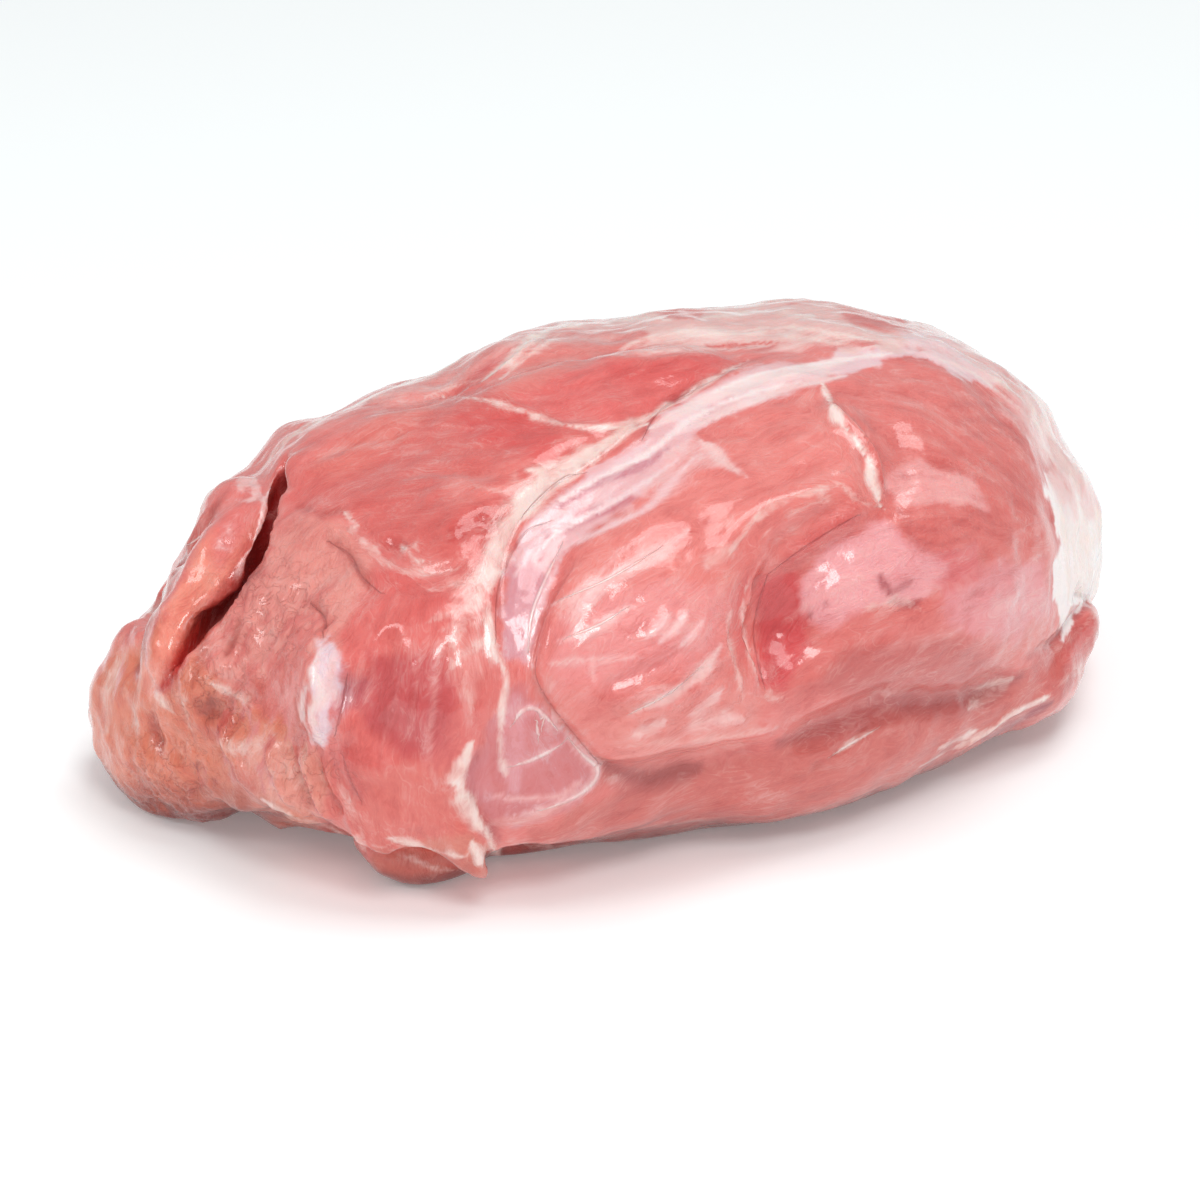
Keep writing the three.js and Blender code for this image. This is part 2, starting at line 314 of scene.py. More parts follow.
# Edges that move: the line in the photograph, how far each of its points moves in mm along the
# leg, across it and up, and the reach in mm.
PULLS = {
    "foot of the near side": ([(500, 874), (550, 873), (620, 866), (690, 851), (760, 833), (830, 812),
        (900, 793), (960, 758), (1010, 728)], [(0, 6, 0), (0, 15, 0), (0, 18, 0), (0, 11, 0), (0, 1, 0),
        (0, 1, 0), (0, 4, 0), (0, 8, 0), (0, -3, 0)], 27),
    "foot of the left lobe": ([(96, 752), (122, 796), (165, 826), (210, 832), (245, 818)], [(1, 1, 0),
        (2, 3, 0), (2, 5, 1), (1, 5, 1), (0, 3, 1)], 15),
    "lowest of the round end": ([(1036, 702), (1075, 668), (1096, 630)], [(0, -2, -1), (0, -1, 0),
        (0, 0, 0)], 13),
    "rounding of that foot": ([(510, 874), (560, 873), (620, 866), (690, 851), (760, 833), (830, 812),
        (900, 793), (960, 758)], [(0, 3, 2), (0, 8, 5), (0, 9, 6), (0, 7, 5), (0, 4, 3), (0, 4, 3),
        (0, 5, 3), (0, 4, 2)], 9),
    "left edge of the flap": ([(235, 826), (275, 828), (310, 845), (345, 852), (380, 852)], [(0, 3, 3),
        (0, 3, 5), (0, 2, 6), (0, 1, 5), (0, 0, 1)], 13),
    "right part of the small lobe": ([(440, 894), (475, 888), (500, 880)], [(-2, 2, 0), (-3, 9, 0),
        (-2, 8, 0)], 11),
    "near rim of the pocket": ([(306, 466), (283, 509), (260, 550), (233, 591), (200, 642), (180, 676)],
        [(-7, 2, 1), (-10, 2, 1), (-10, 2, 0), (-9, 1, 0), (-7, 1, 0), (-2, 0, 0)], 10),
    "far rim of the pocket": ([(266, 466), (240, 503), (216, 560), (183, 636), (164, 676)], [(3, -1, 0),
        (9, -3, 2), (8, -3, 2), (5, -2, 1), (1, 0, 0)], 8),
}
SHARED = 0.7  # how far, in reaches, a point of a line makes its neighbours move as it does
LAST_TRACE = 2.5  # how far, in reaches, anything moves at all


def pulled_by(line, moves, reach):
    """How far each place goes when the points of a line that is laid on the photograph move."""
    on_surface = laid("photograph", line)[0]
    share = np.linspace(0, 1, len(moves))
    along = np.linspace(0, 1, len(on_surface))
    moves = np.stack([np.interp(along, share, axis) for axis in np.array(moves, float).T], axis=1)
    by = np.zeros((count, 3))
    for part in near_line(on_surface, LAST_TRACE * reach, len(moves)):
        apart = np.linalg.norm(places[part][:, None] - on_surface[None], axis=2) / MM
        share = bell(apart / (SHARED * reach)) + 1e-9
        mean = (share @ moves) / share.sum(1)[:, None]
        by[part] = mean * bell(apart.min(1) / reach)[:, None] * MM
    return by


spots, _ = in_view("photograph", places)
by = np.zeros((count, 3))
for pixel, (right, lower), reach in PUSHES.values():
    pull = bell(np.linalg.norm(spots - pixel, axis=1) / reach)
    by += pull[:, None] * (RIGHT * right - UP * lower) * PIXEL * MM
move(by * fade(places[:, 2] / MM, *FOOT_HELD)[:, None])
for line, moves, reach in PULLS.values():
    move(pulled_by(line, moves, reach))

# ---- The leg: the grain of its muscles -------------------------------------------------------
# Fibres run along each muscle. These lines show which way, and every place takes its direction
# from the lines near it. Random specks are then drawn out along the fibres into streaks.

GRAIN_LINES = {"photograph": [
    [(275, 500), (330, 440), (400, 415), (470, 408), (560, 425)],
    [(300, 520), (360, 480), (430, 465), (500, 460), (575, 440)],
    [(350, 530), (410, 510), (470, 500), (520, 490)],
    [(320, 408), (400, 390), (470, 380), (530, 345), (570, 325)],
    [(560, 415), (620, 395), (690, 375), (760, 355), (850, 330)],
    [(280, 485), (245, 545), (205, 600), (190, 640)],
    [(265, 478), (215, 540), (165, 610), (150, 690)],
    [(330, 540), (290, 590), (250, 640), (215, 690)],
    [(370, 570), (330, 620), (290, 670), (250, 730)],
    [(110, 700), (120, 750), (150, 800)],
    [(180, 700), (200, 750), (240, 800)],
    [(400, 590), (380, 650), (360, 710), (350, 770), (365, 830)],
    [(460, 600), (450, 660), (425, 720), (420, 780), (430, 840)],
    [(320, 660), (315, 710), (300, 760), (290, 800)],
    [(495, 620), (500, 680), (500, 740), (480, 790), (490, 840)],
    [(515, 640), (515, 580), (545, 520), (620, 460), (700, 410), (790, 370), (900, 350)],
    [(540, 660), (565, 600), (620, 550), (700, 510), (780, 480), (860, 440)],
    [(690, 465), (740, 440), (790, 420), (822, 412)],
    [(560, 700), (620, 650), (690, 600), (730, 560)],
    [(580, 730), (630, 700), (690, 660), (740, 620)],
    [(610, 760), (680, 735), (740, 715), (790, 700)],
    [(520, 710), (560, 750), (590, 790)],
    [(600, 830), (700, 800), (800, 770), (900, 735), (1000, 700)],
    [(790, 690), (850, 650), (920, 610), (1000, 570), (1060, 530)],
    [(800, 560), (870, 520), (940, 500), (1010, 520)],
    [(850, 390), (910, 400), (980, 440), (1040, 500)],
    [(870, 330), (940, 345), (1020, 400), (1070, 470), (1090, 560)],
    [(1090, 620), (1060, 660), (1000, 700)],
    [(480, 733), (461, 768), (460, 790), (474, 816), (500, 862)],
    [(322, 745), (340, 785), (352, 812), (368, 850)],
    [(499, 545), (490, 592), (494, 653), (503, 700), (506, 778)],
    [(436, 397), (519, 410), (601, 428), (680, 398), (750, 360)],
    [(648, 424), (560, 474), (514, 522), (497, 560)],
    [(826, 391), (850, 434), (872, 482), (884, 508)],
    [(882, 508), (838, 486), (770, 508), (730, 552)],
    [(764, 572), (748, 619), (754, 660), (766, 696)],
    [(342, 514), (366, 544), (395, 562), (430, 574), (475, 564)],
    [(488, 824), (548, 818), (590, 786)],
    [(1058, 500), (1062, 540), (1068, 600)],
], "above": [
    [(-110, 40), (-40, 52), (40, 55), (120, 40)],
    [(-120, 10), (-60, 20), (20, 10), (120, 0)],
], "behind": [
    [(-120, 20), (-60, 40), (0, 45), (60, 30)],
    [(-110, 60), (-40, 80), (40, 80), (100, 60)],
    [(-120, 8), (-40, 15), (40, 12), (100, 10)],
    [(60, 100), (100, 70), (125, 30)],
], "round end": [
    [(60, 20), (30, 60), (0, 90)],
    [(-60, 40), (-40, 80), (0, 100)],
], "cut end": [
    [(60, 10), (45, 40), (20, 60)],
    [(20, 10), (10, 30), (5, 50)],
]}
GRAIN_BLEND = 5 * MM  # nearer than this, all lines count alike
CELL = 5 * MM  # the directions are kept in a lattice of this size, which the specks move through
CELLS_AROUND = 6
CELLS_FILLED = 3  # how many cells out from the surface get a direction
GRAIN_STEP = 0.8  # mm that a speck moves at a time


def directions():
    """The direction of the fibres at each place."""
    middles, tangents = [], []
    for view, lines in GRAIN_LINES.items():
        for points in lines:
            line = laid(view, points)[0][:: 8 if view in FLAT_VIEWS else 4]
            middles.append((line[1:] + line[:-1]) / 2)
            tangents.append(line[1:] - line[:-1])
    middles = np.vstack(middles)
    tangents = np.vstack(tangents)
    tangents /= np.linalg.norm(tangents, axis=1)[:, None]
    pulls = np.einsum("ni,nj->nij", tangents, tangents).reshape(-1, 9)
    found = np.empty((count, 3))
    for part in np.array_split(np.arange(count), 12):
        apart = ((places[part][:, None] - middles[None]) ** 2).sum(2) + GRAIN_BLEND**2
        pull = ((apart**-2) @ pulls).reshape(-1, 3, 3)
        found[part] = np.linalg.eigh(pull)[1][:, :, 2]
    found -= normals * (found * normals).sum(1)[:, None]
    return found / np.maximum(np.linalg.norm(found, axis=1), 1e-9)[:, None]


fibres = directions()
low_corner = places.min(0) - CELLS_AROUND * CELL
lattice = tuple(((places.max(0) + CELLS_AROUND * CELL - low_corner) / CELL).astype(int) + 1)
cell_directions = np.zeros(lattice + (3,))
cell_directions[tuple(((places - low_corner) / CELL).astype(int).T)] = fibres
for _ in range(CELLS_FILLED):
    empty = ~cell_directions.any(axis=3)
    for axis, turn in itertools.product(range(3), (-1, 1)):
        shifted = np.roll(cell_directions, turn, axis=axis)
        cell_directions[empty] = np.where(
            cell_directions[empty].any(axis=1)[:, None], cell_directions[empty], shifted[empty])


def drawn_out(size, length, seed):
    """Random waves drawn out along the fibres: streaks of about that size and length, in mm."""
    total = waves(places, size * MM, seed)
    for way in (1, -1):
        spot = places.copy()
        heading = fibres * way
        for _ in range(max(2, int(length / (2 * GRAIN_STEP)))):
            spot += heading * GRAIN_STEP * MM
            cell = ((spot - low_corner) / CELL).astype(int)
            cell = np.clip(cell, 0, np.array(lattice) - 1)
            turned = cell_directions[tuple(cell.T)]
            turned = turned * np.sign((turned * heading).sum(1))[:, None]
            heading = np.where(turned.any(axis=1)[:, None], turned, heading)
            total += waves(spot, size * MM, seed)
    total -= total.mean()
    return total / total.std()


streaks = drawn_out(size=1.6, length=13, seed=3)
strands = drawn_out(size=6.0, length=26, seed=5)
other_strands = drawn_out(size=5.0, length=26, seed=6)
wrinkles = drawn_out(size=2.0, length=4, seed=8)

# ---- The leg: seams, folds and ridges --------------------------------------------------------
# Where two muscles meet there is a crease, and their fat and sinew stand up as cords and ridges.
# Each is a line with its depth and half width in mm, and how much higher its right side stands.

CREASES = {
    "main seam": ([(760, 352), (701, 388), (657, 412), (610, 450), (569, 477), (545, 497), (525, 519),
        (512, 545), (505, 575), (503, 610), (503, 650)], 1.1, 1.8, -1.3),
    "fold in the membrane": ([(554, 521), (534, 533), (519, 547), (511, 566), (506, 590), (503, 620)], 0.6,
        1.4, 0.4),
    "sinew cord": ([(478, 560), (488, 592), (491, 625), (494, 653), (505, 677), (501, 700), (500, 728),
        (502, 755), (506, 778)], -0.9, 1.8, 0),
    "edge of the middle muscle": ([(590, 545), (565, 575), (545, 610), (536, 640), (533, 672), (549, 703),
        (569, 730), (588, 752), (612, 768), (636, 778)], 1.4, 2.2, -2.2),
    "under the middle muscle": ([(599, 758), (636, 776), (680, 768), (730, 752), (770, 742)], 2.2, 5.0, 0),
    "lip of the middle muscle": ([(610, 735), (650, 741), (700, 737), (750, 731), (790, 716)], -1.5, 4.0,
        0),
    "free edge": ([(822, 394), (835, 415), (852, 432), (869, 454), (875, 476), (882, 507)], -1.6, 2.6,
        -1.6),
    "step below the free edge": ([(830, 388), (848, 412), (866, 432), (880, 455), (885, 480), (890, 508)],
        0.8, 1.8, 0),
    "upper fold": ([(838, 482), (799, 495), (766, 508), (744, 525), (725, 551), (735, 575)], -1.5, 3.4, 0),
    "lower fold": ([(881, 507), (859, 508), (836, 527), (805, 551), (775, 566)], -1.1, 2.2, 0),
    "between the folds": ([(850, 498), (820, 515), (790, 535), (765, 556)], 1.4, 2.4, 0),
    "torn edge": ([(766, 561), (755, 590), (748, 619), (754, 648), (762, 670), (766, 692)], 2.4, 2.0, 1.6),
    "torn strand": ([(753, 582), (743, 605), (738, 640), (748, 668), (758, 692)], -1.6, 1.8, 0),
    "second torn strand": ([(728, 618), (722, 645), (732, 672), (738, 700)], -1.2, 1.6, 0),
    "ledge": ([(770, 742), (810, 730), (850, 716), (880, 706), (917, 703), (963, 698), (1000, 684),
        (1028, 662)], 3.0, 4.6, 0),
    "nick": ([(879, 723), (862, 734), (845, 745), (824, 761)], 0.7, 1.1, 0),
    "notch at the round end": ([(1106, 583), (1089, 602), (1074, 618), (1056, 639), (1039, 650),
        (1028, 660)], 1.6, 1.6, 0),
    "bottom rim at the round end": ([(1052, 692), (1032, 704), (1007, 717), (982, 735), (951, 752)], -0.8,
        1.6, 0),
    "first welt": ([(645, 640), (660, 627), (674, 612)], -1.0, 1.6, 0),
    "second welt": ([(662, 645), (678, 630), (692, 610)], -1.0, 1.6, 0),
    "third welt": ([(684, 650), (698, 634), (708, 614)], -1.0, 1.6, 0),
    "long welt": ([(618, 722), (648, 710), (684, 692), (710, 668), (724, 644)], -1.2, 2.0, 0),
    "low long welt": ([(612, 706), (640, 698), (668, 684), (690, 668)], -1.0, 1.7, 0),
    "low welt": ([(626, 742), (648, 732), (668, 722)], -0.9, 1.8, 0),
    "big welt": ([(684, 732), (706, 724), (730, 718), (752, 724)], -1.3, 2.6, 0),
    "groove between the welts": ([(600, 716), (640, 704), (680, 686), (704, 664)], 0.9, 1.4, 0),
    "groove above the welts": ([(590, 690), (630, 676), (672, 656), (700, 640)], 0.8, 1.6, 0),
    "first frill": ([(266, 742), (280, 772), (296, 806)], -2.0, 1.9, 0),
    "second frill": ([(284, 742), (300, 772), (318, 812)], 1.8, 1.6, 0),
    "third frill": ([(300, 745), (316, 780), (334, 822)], -2.1, 1.9, 0),
    "fourth frill": ([(316, 750), (330, 784), (346, 820)], 1.8, 1.5, 0),
    "groove of the lobe": ([(232, 748), (250, 770), (262, 800)], 1.4, 2.2, 0),
    "second groove of the lobe": ([(170, 742), (196, 752), (222, 750)], 0.9, 1.8, 0),
    "first fold of the fore muscle": ([(300, 470), (350, 446), (410, 436)], 0.8, 2.4, 0.5),
    "second fold of the fore muscle": ([(392, 480), (440, 470), (500, 476)], 0.8, 2.4, 0.4),
    "fold of the left flank": ([(395, 398), (430, 394), (470, 384)], 0.9, 1.8, -0.8),
    "first fold of the front": ([(392, 620), (386, 670), (372, 720)], 0.8, 2.2, 0.4),
    "second fold of the front": ([(452, 640), (444, 690), (430, 740)], 0.7, 2.2, -0.3),
    "rim of the lilac patch": ([(562, 731), (584, 753), (599, 768), (594, 784), (573, 798), (543, 811),
        (508, 819), (482, 820)], -0.6, 1.4, 0),
    "flap's near edge": ([(480, 733), (464, 760), (458, 785), (466, 800), (480, 827), (492, 845),
        (502, 862)], -1.2, 2.2, -0.8),
    "behind the flap's edge": ([(487, 738), (471, 765), (467, 788), (477, 806), (490, 828), (503, 846)],
        1.2, 1.8, 0),
    "flap's far edge": ([(322, 755), (341, 794), (356, 831), (368, 852)], -1.0, 2.0, 0),
    "crack in the flap": ([(338, 764), (347, 782), (360, 800)], 1.0, 1.2, 0),
    "upper edge of the lean wedge": ([(599, 361), (647, 360), (701, 356), (736, 362)], -0.5, 1.8, 0.6),
    "lower edge of the lean wedge": ([(452, 398), (484, 398), (517, 405), (545, 418), (569, 425),
        (604, 426), (640, 418), (680, 398)], -0.5, 1.7, 0.5),
    "left edge of the top fat": ([(452, 397), (484, 381), (512, 358), (530, 343), (545, 330)], -0.7, 1.6,
        0.8),
    "red line under the top fat": ([(708, 349), (740, 346), (776, 343)], 0.6, 1.2, 0),
    "lower side of the membrane": ([(729, 410), (755, 390), (788, 377), (820, 378), (842, 382), (868, 368),
        (894, 360)], -0.4, 1.6, 0),
    "crest beside the pocket": ([(296, 474), (284, 500), (274, 526), (258, 556), (232, 582), (210, 606),
        (196, 640)], -0.8, 3.0, 0),
    "crest of the far lip": ([(256, 492), (226, 524), (202, 560), (180, 596), (162, 636), (153, 680)], -1.6,
        3.4, 0),
    "behind the far lip": ([(222, 500), (192, 540), (166, 588), (142, 636), (136, 680)], 2.6, 2.8, 0),
    "hollow above": ([(207, 678), (202, 660), (204, 645)], 1.3, 2.0, 0),
    "cream ridge": ([(208, 680), (232, 697), (251, 708), (262, 722)], -0.9, 1.8, 0),
    "left ridge of the hollow": ([(190, 690), (192, 712), (200, 730)], -0.9, 1.8, 0),
    "streak on the lobe": ([(152, 705), (156, 728), (161, 750)], 1.3, 1.6, 0),
    "fold beside the sinew": ([(347, 676), (345, 700), (338, 722), (330, 748)], 1.4, 1.8, 0),
    "sinew end": ([(322, 648), (318, 680), (318, 712), (312, 740)], -1.2, 3.2, 0),
    "first wrinkle": ([(325, 540), (347, 551), (356, 566), (363, 580), (380, 598)], 0.7, 1.1, 0),
    "second wrinkle": ([(310, 600), (325, 618), (323, 635)], 0.7, 1.0, 0),
    "third wrinkle": ([(297, 505), (311, 512), (326, 516), (345, 508)], 0.6, 1.0, 0),
    "fourth wrinkle": ([(301, 558), (318, 562), (336, 570)], 0.5, 1.0, 0),
    "fold below the pocket": ([(210, 600), (201, 627), (197, 655)], 0.8, 1.2, 0),
    "next fold": ([(246, 625), (236, 648), (230, 668)], 0.8, 1.2, 0),
    "fat valley": ([(371, 505), (360, 528), (395, 556), (430, 572), (470, 568)], 0.7, 1.8, 0),
    "first red pit": ([(455, 540), (470, 528), (492, 522)], 1.2, 2.6, 0),
    "second red pit": ([(384, 545), (396, 546), (406, 548)], 1.0, 2.0, 0),
}
CREASE_REACH = 14  # mm from a crease to where nothing is left of it
CREASE_END = 0.18  # the share of its length over which each end of it runs out
STEP_REACH = 7  # mm over which a side that stands higher comes down again
CREASE_WAVER = 0.35  # mm by which a crease strays from its line
WAVER_SIZE = 5 * MM
# Round hollows in the photograph: the pixel at their middle, depth and half width in mm.
HOLLOWS = {
    "torn hollow": ((781, 632), 5.0, 8.5),
    "vein": ((212, 708), 1.8, 3.8),
    "pit in the foot": ((818, 766), 1.4, 1.8),
    "hollow under the lobe": ((193, 788), 1.2, 4.0),
    "dip beside the sinew": ((350, 692), 1.3, 4.5),
    "dip of the flap": ((384, 732), 1.2, 6.0),
}
LUMPS = [(17, 1.1), (8, 0.65), (3.4, 0.22)]  # size and height in mm of the meat's own unevenness
LUMPIER_END = 2.0  # how much more uneven the cut end is
CUT_END = (-85, -125)  # mm along the leg, from where it starts to where it is all cut end
STREAK_HEIGHT = 0.06
# Where it is wrinkled: the pixel at the middle, and how far round it.
WRINKLED = {
    "beside the pocket": ((275, 610), 70),
    "round the vein": ((215, 700), 60),
    "foot of the lobe": ((170, 780), 60),
    "end of the fore muscles": ((310, 770), 50),
}
WRINKLE_HEIGHT = 0.7
FOOT_FLAT = 6  # mm above the table, below which the meat's own weight presses the relief flat

spots, photo_side = in_view("photograph", places)
wrinkled = np.zeros(count)
for pixel, spread in WRINKLED.values():
    wrinkled = np.maximum(wrinkled, bell(np.linalg.norm(spots - pixel, axis=1) / spread))
wrinkled *= fade(normals @ photo_side, -0.1, 0.1)

heights = np.zeros(count)
for line, depth, width, step in CREASES.values():
    near, side, along = beside("photograph", line, CREASE_REACH)
    near = near + CREASE_WAVER * waves(places, WAVER_SIZE, 11) * np.minimum(1, near)
    taper = tapered(along, 0, CREASE_END)
    heights -= depth * taper * bell(near / width)
    rise = fade(side, -width / 2, width / 2) - 0.5
    heights += step * rise * taper * bell(near / STEP_REACH)
for pixel, depth, width in HOLLOWS.values():
    middle = laid("photograph", [pixel, (pixel[0] + 1, pixel[1])])[0][0]
    heights -= depth * bell(np.linalg.norm(places - middle, axis=1) / MM / width)
lumpier = 1 + (LUMPIER_END - 1) * fade(places[:, 0] / MM, *CUT_END)
for seed, (size, height) in enumerate(LUMPS, 20):
    heights += height * waves(places, size * MM, seed) * lumpier
heights += STREAK_HEIGHT * streaks * (1 - wrinkled)
heights += WRINKLE_HEIGHT * wrinkled * (1 - np.abs(wrinkles))
heights *= fade(places[:, 2] / MM, 0, FOOT_FLAT)
move(normals * (heights * MM)[:, None])

# ---- The leg: its lean, fat and membrane -----------------------------------------------------
# Raw pork is pink to red where it is bare muscle, cream white where fat or sinew lies on it, and
# a cold white or lilac under the thin silverskin. Every patch and streak is laid on one by one.


def linear(colour):
    """An sRGB hex colour as the linear colour that shaders use."""
    parts = np.array([int(colour[i:i + 2], 16) for i in (1, 3, 5)]) / 255
    return np.where(parts <= 0.04045, parts / 12.92, ((parts + 0.055) / 1.055) ** 2.4)


LEAN = "#e6837d"
# Patches of lean, and of painted shade and painted reflection where marked, by view: outline, softness of
# the edge in mm, colour.
LEAN_PATCHES = {"photograph": {
    "cut end": ([(60, 640), (140, 590), (190, 640), (230, 690), (300, 720), (335, 800), (300, 860),
        (60, 860)], 9, "#e28669"),
    # The lobe's own orange-brown, with painted shade towards the table.
    "foot of the lobe": ([(80, 775), (150, 780), (280, 785), (290, 860), (80, 860)], 7, "#c4674f"),
    "behind the far lip": ([(250, 450), (262, 472), (190, 560), (150, 640), (100, 660), (100, 600),
        (170, 520)], 4, "#e9968b"),
    "far lip": ([(282, 465), (268, 500), (250, 545), (226, 592), (194, 640), (166, 695), (140, 700),
        (144, 660), (172, 590), (212, 518), (258, 470)], 2.5, "#f49b86"),
    "wrinkled end": ([(262, 545), (300, 510), (345, 520), (372, 560), (392, 600), (360, 640), (320, 700),
        (250, 700), (205, 660), (200, 610)], 6, "#e99c92"),
    "smooth patch": ([(250, 682), (292, 680), (300, 716), (262, 716)], 4, "#d56f64"),
    "pale of the front corner": ([(235, 745), (300, 735), (340, 790), (350, 835), (290, 812), (255, 795)],
        5, "#eba291"),
    "fore muscle": ([(262, 470), (322, 395), (417, 365), (484, 380), (540, 405), (600, 425), (560, 470),
        (520, 512), (500, 545), (450, 560), (380, 545), (345, 520), (300, 512)], 4, "#df6f69"),
    "pale above the fore muscle": ([(290, 470), (330, 415), (380, 398), (440, 402), (400, 440), (340, 480)],
        6, "#e27c73"),
    "red heart of the fore muscle": ([(458, 412), (520, 412), (566, 436), (556, 456), (500, 448),
        (462, 436)], 5, "#de5b58"),
    "below the heart": ([(440, 470), (520, 465), (512, 500), (450, 505)], 6, "#e67e77"),
    "left flank": ([(395, 360), (470, 352), (478, 372), (440, 392), (395, 398)], 3, "#d3635d"),
    "flank": ([(462, 368), (500, 330), (545, 312), (548, 322), (512, 350), (480, 378)], 2, "#cf555b"),
    "lean under the top fat": ([(500, 385), (540, 350), (570, 334), (625, 334), (615, 358), (560, 395)], 3,
        "#e48881"),
    "lean wedge": ([(520, 398), (560, 372), (600, 360), (734, 357), (700, 388), (655, 410), (603, 428),
        (560, 420)], 2.5, "#e6716d"),
    "reddest lean": ([(605, 361), (720, 358), (690, 380), (620, 388)], 3, "#e05f5c"),
    "front mass": ([(380, 560), (440, 590), (480, 610), (490, 700), (470, 760), (460, 830), (390, 840),
        (345, 790), (335, 700), (340, 630)], 5, "#e4756f"),
    "dark of the front mass": ([(370, 655), (440, 655), (462, 700), (450, 750), (404, 758), (366, 720)], 6,
        "#d05a5c"),
    "flap": ([(345, 765), (400, 765), (455, 770), (480, 830), (515, 880), (400, 870), (355, 840),
        (320, 830), (330, 775)], 4, "#e2766c"),
    "flap's end": ([(400, 840), (470, 835), (500, 862), (480, 880), (400, 870)], 3, "#dd8473"),
    "middle muscle": ([(567, 560), (640, 500), (740, 425), (828, 390), (880, 480), (875, 510), (780, 505),
        (740, 540), (720, 600), (760, 700), (740, 740), (620, 765), (560, 716), (532, 670)], 3, "#ea8a83"),
    "pale of the middle muscle": ([(548, 630), (600, 590), (680, 580), (740, 600), (715, 660), (620, 690),
        (550, 690)], 8, "#ee9a98"),
    "foot of the middle muscle": ([(590, 725), (640, 700), (760, 700), (750, 745), (640, 775)], 6,
        "#ea928a"),
    "outer muscle": ([(825, 395), (880, 362), (950, 366), (1030, 420), (1056, 500), (1056, 600), (990, 690),
        (880, 705), (790, 725), (760, 690), (775, 560), (885, 500)], 3, "#e27f79"),
    "nearer the rim": ([(960, 380), (1020, 420), (1050, 490), (1050, 560), (990, 540), (980, 450)], 6,
        "#df7d77"),
    "pink of the outer muscle": ([(940, 575), (1045, 560), (1055, 610), (1010, 640), (950, 625)], 5,
        "#e9989c"),
    "redder below the gloss": ([(920, 560), (975, 548), (985, 580), (930, 592)], 3, "#e07c7e"),
    "low outer muscle": ([(800, 690), (850, 645), (960, 640), (1010, 670), (900, 705)], 6, "#cd6a65"),
    "foot muscle": ([(620, 790), (780, 745), (880, 708), (1030, 672), (1060, 705), (900, 800), (760, 850),
        (500, 870), (530, 830)], 4, "#d57168"),
    "torn hollow": ([(757, 580), (800, 570), (806, 610), (812, 650), (785, 690), (758, 680)], 4, "#dc575a"),
    "dark of the hollow": ([(760, 620), (785, 620), (785, 680), (765, 680)], 3, "#d0474b"),
    # Painted reflections: pale pink where a softbox mirrors in the wet surface.
    "upper painted reflection": ([(879, 487), (903, 463), (922, 457), (934, 468), (970, 478), (985, 511),
        (946, 503), (898, 508)], 2.5, "#f1aeac"),
    "lower painted reflection": ([(800, 580), (822, 554), (865, 527), (886, 521), (927, 552), (948, 574),
        (922, 600), (876, 606), (822, 632), (802, 608)], 3.5, "#efacb0"),
    "small lobe": ([(370, 850), (500, 858), (500, 900), (370, 900)], 2, "#cf7060"),
    "rolled edge": ([(1110, 590), (1062, 640), (1020, 672), (1060, 700), (1110, 660)], 2.5, "#d1625a"),
    "red of the nape": ([(846, 306), (898, 306), (906, 330), (880, 334), (850, 322)], 2.5, "#d9716b"),
    "red of the crown": ([(664, 300), (702, 300), (700, 318), (668, 318)], 2.5, "#e0807b"),
}, "behind": {
    "far muscle": ([(-150, -5), (60, -5), (70, 40), (40, 75), (-40, 90), (-150, 85)], 8, "#e37f78"),
    "far round muscle": ([(62, -5), (170, -5), (170, 110), (60, 115), (45, 78), (72, 40)], 8, "#e6867f"),
    "dark of the far muscle": ([(-90, 20), (-20, 25), (20, 40), (0, 55), (-80, 50)], 12, "#d8625f"),
    "red of the far end": ([(-140, 20), (-110, 15), (-96, 40), (-110, 62), (-140, 50)], 10, "#da6b62"),
    "pale of the far side": ([(-40, 8), (50, 6), (58, 24), (-20, 26)], 9, "#ea948b"),
}, "above": {
    "top muscle": ([(-120, 0), (-60, 22), (30, 30), (110, 30), (110, 75), (-60, 80), (-130, 50)], 8,
        "#e5807a"),
    "red of the top": ([(-70, 48), (0, 52), (30, 66), (-20, 78), (-70, 70)], 9, "#dc6561"),
}}
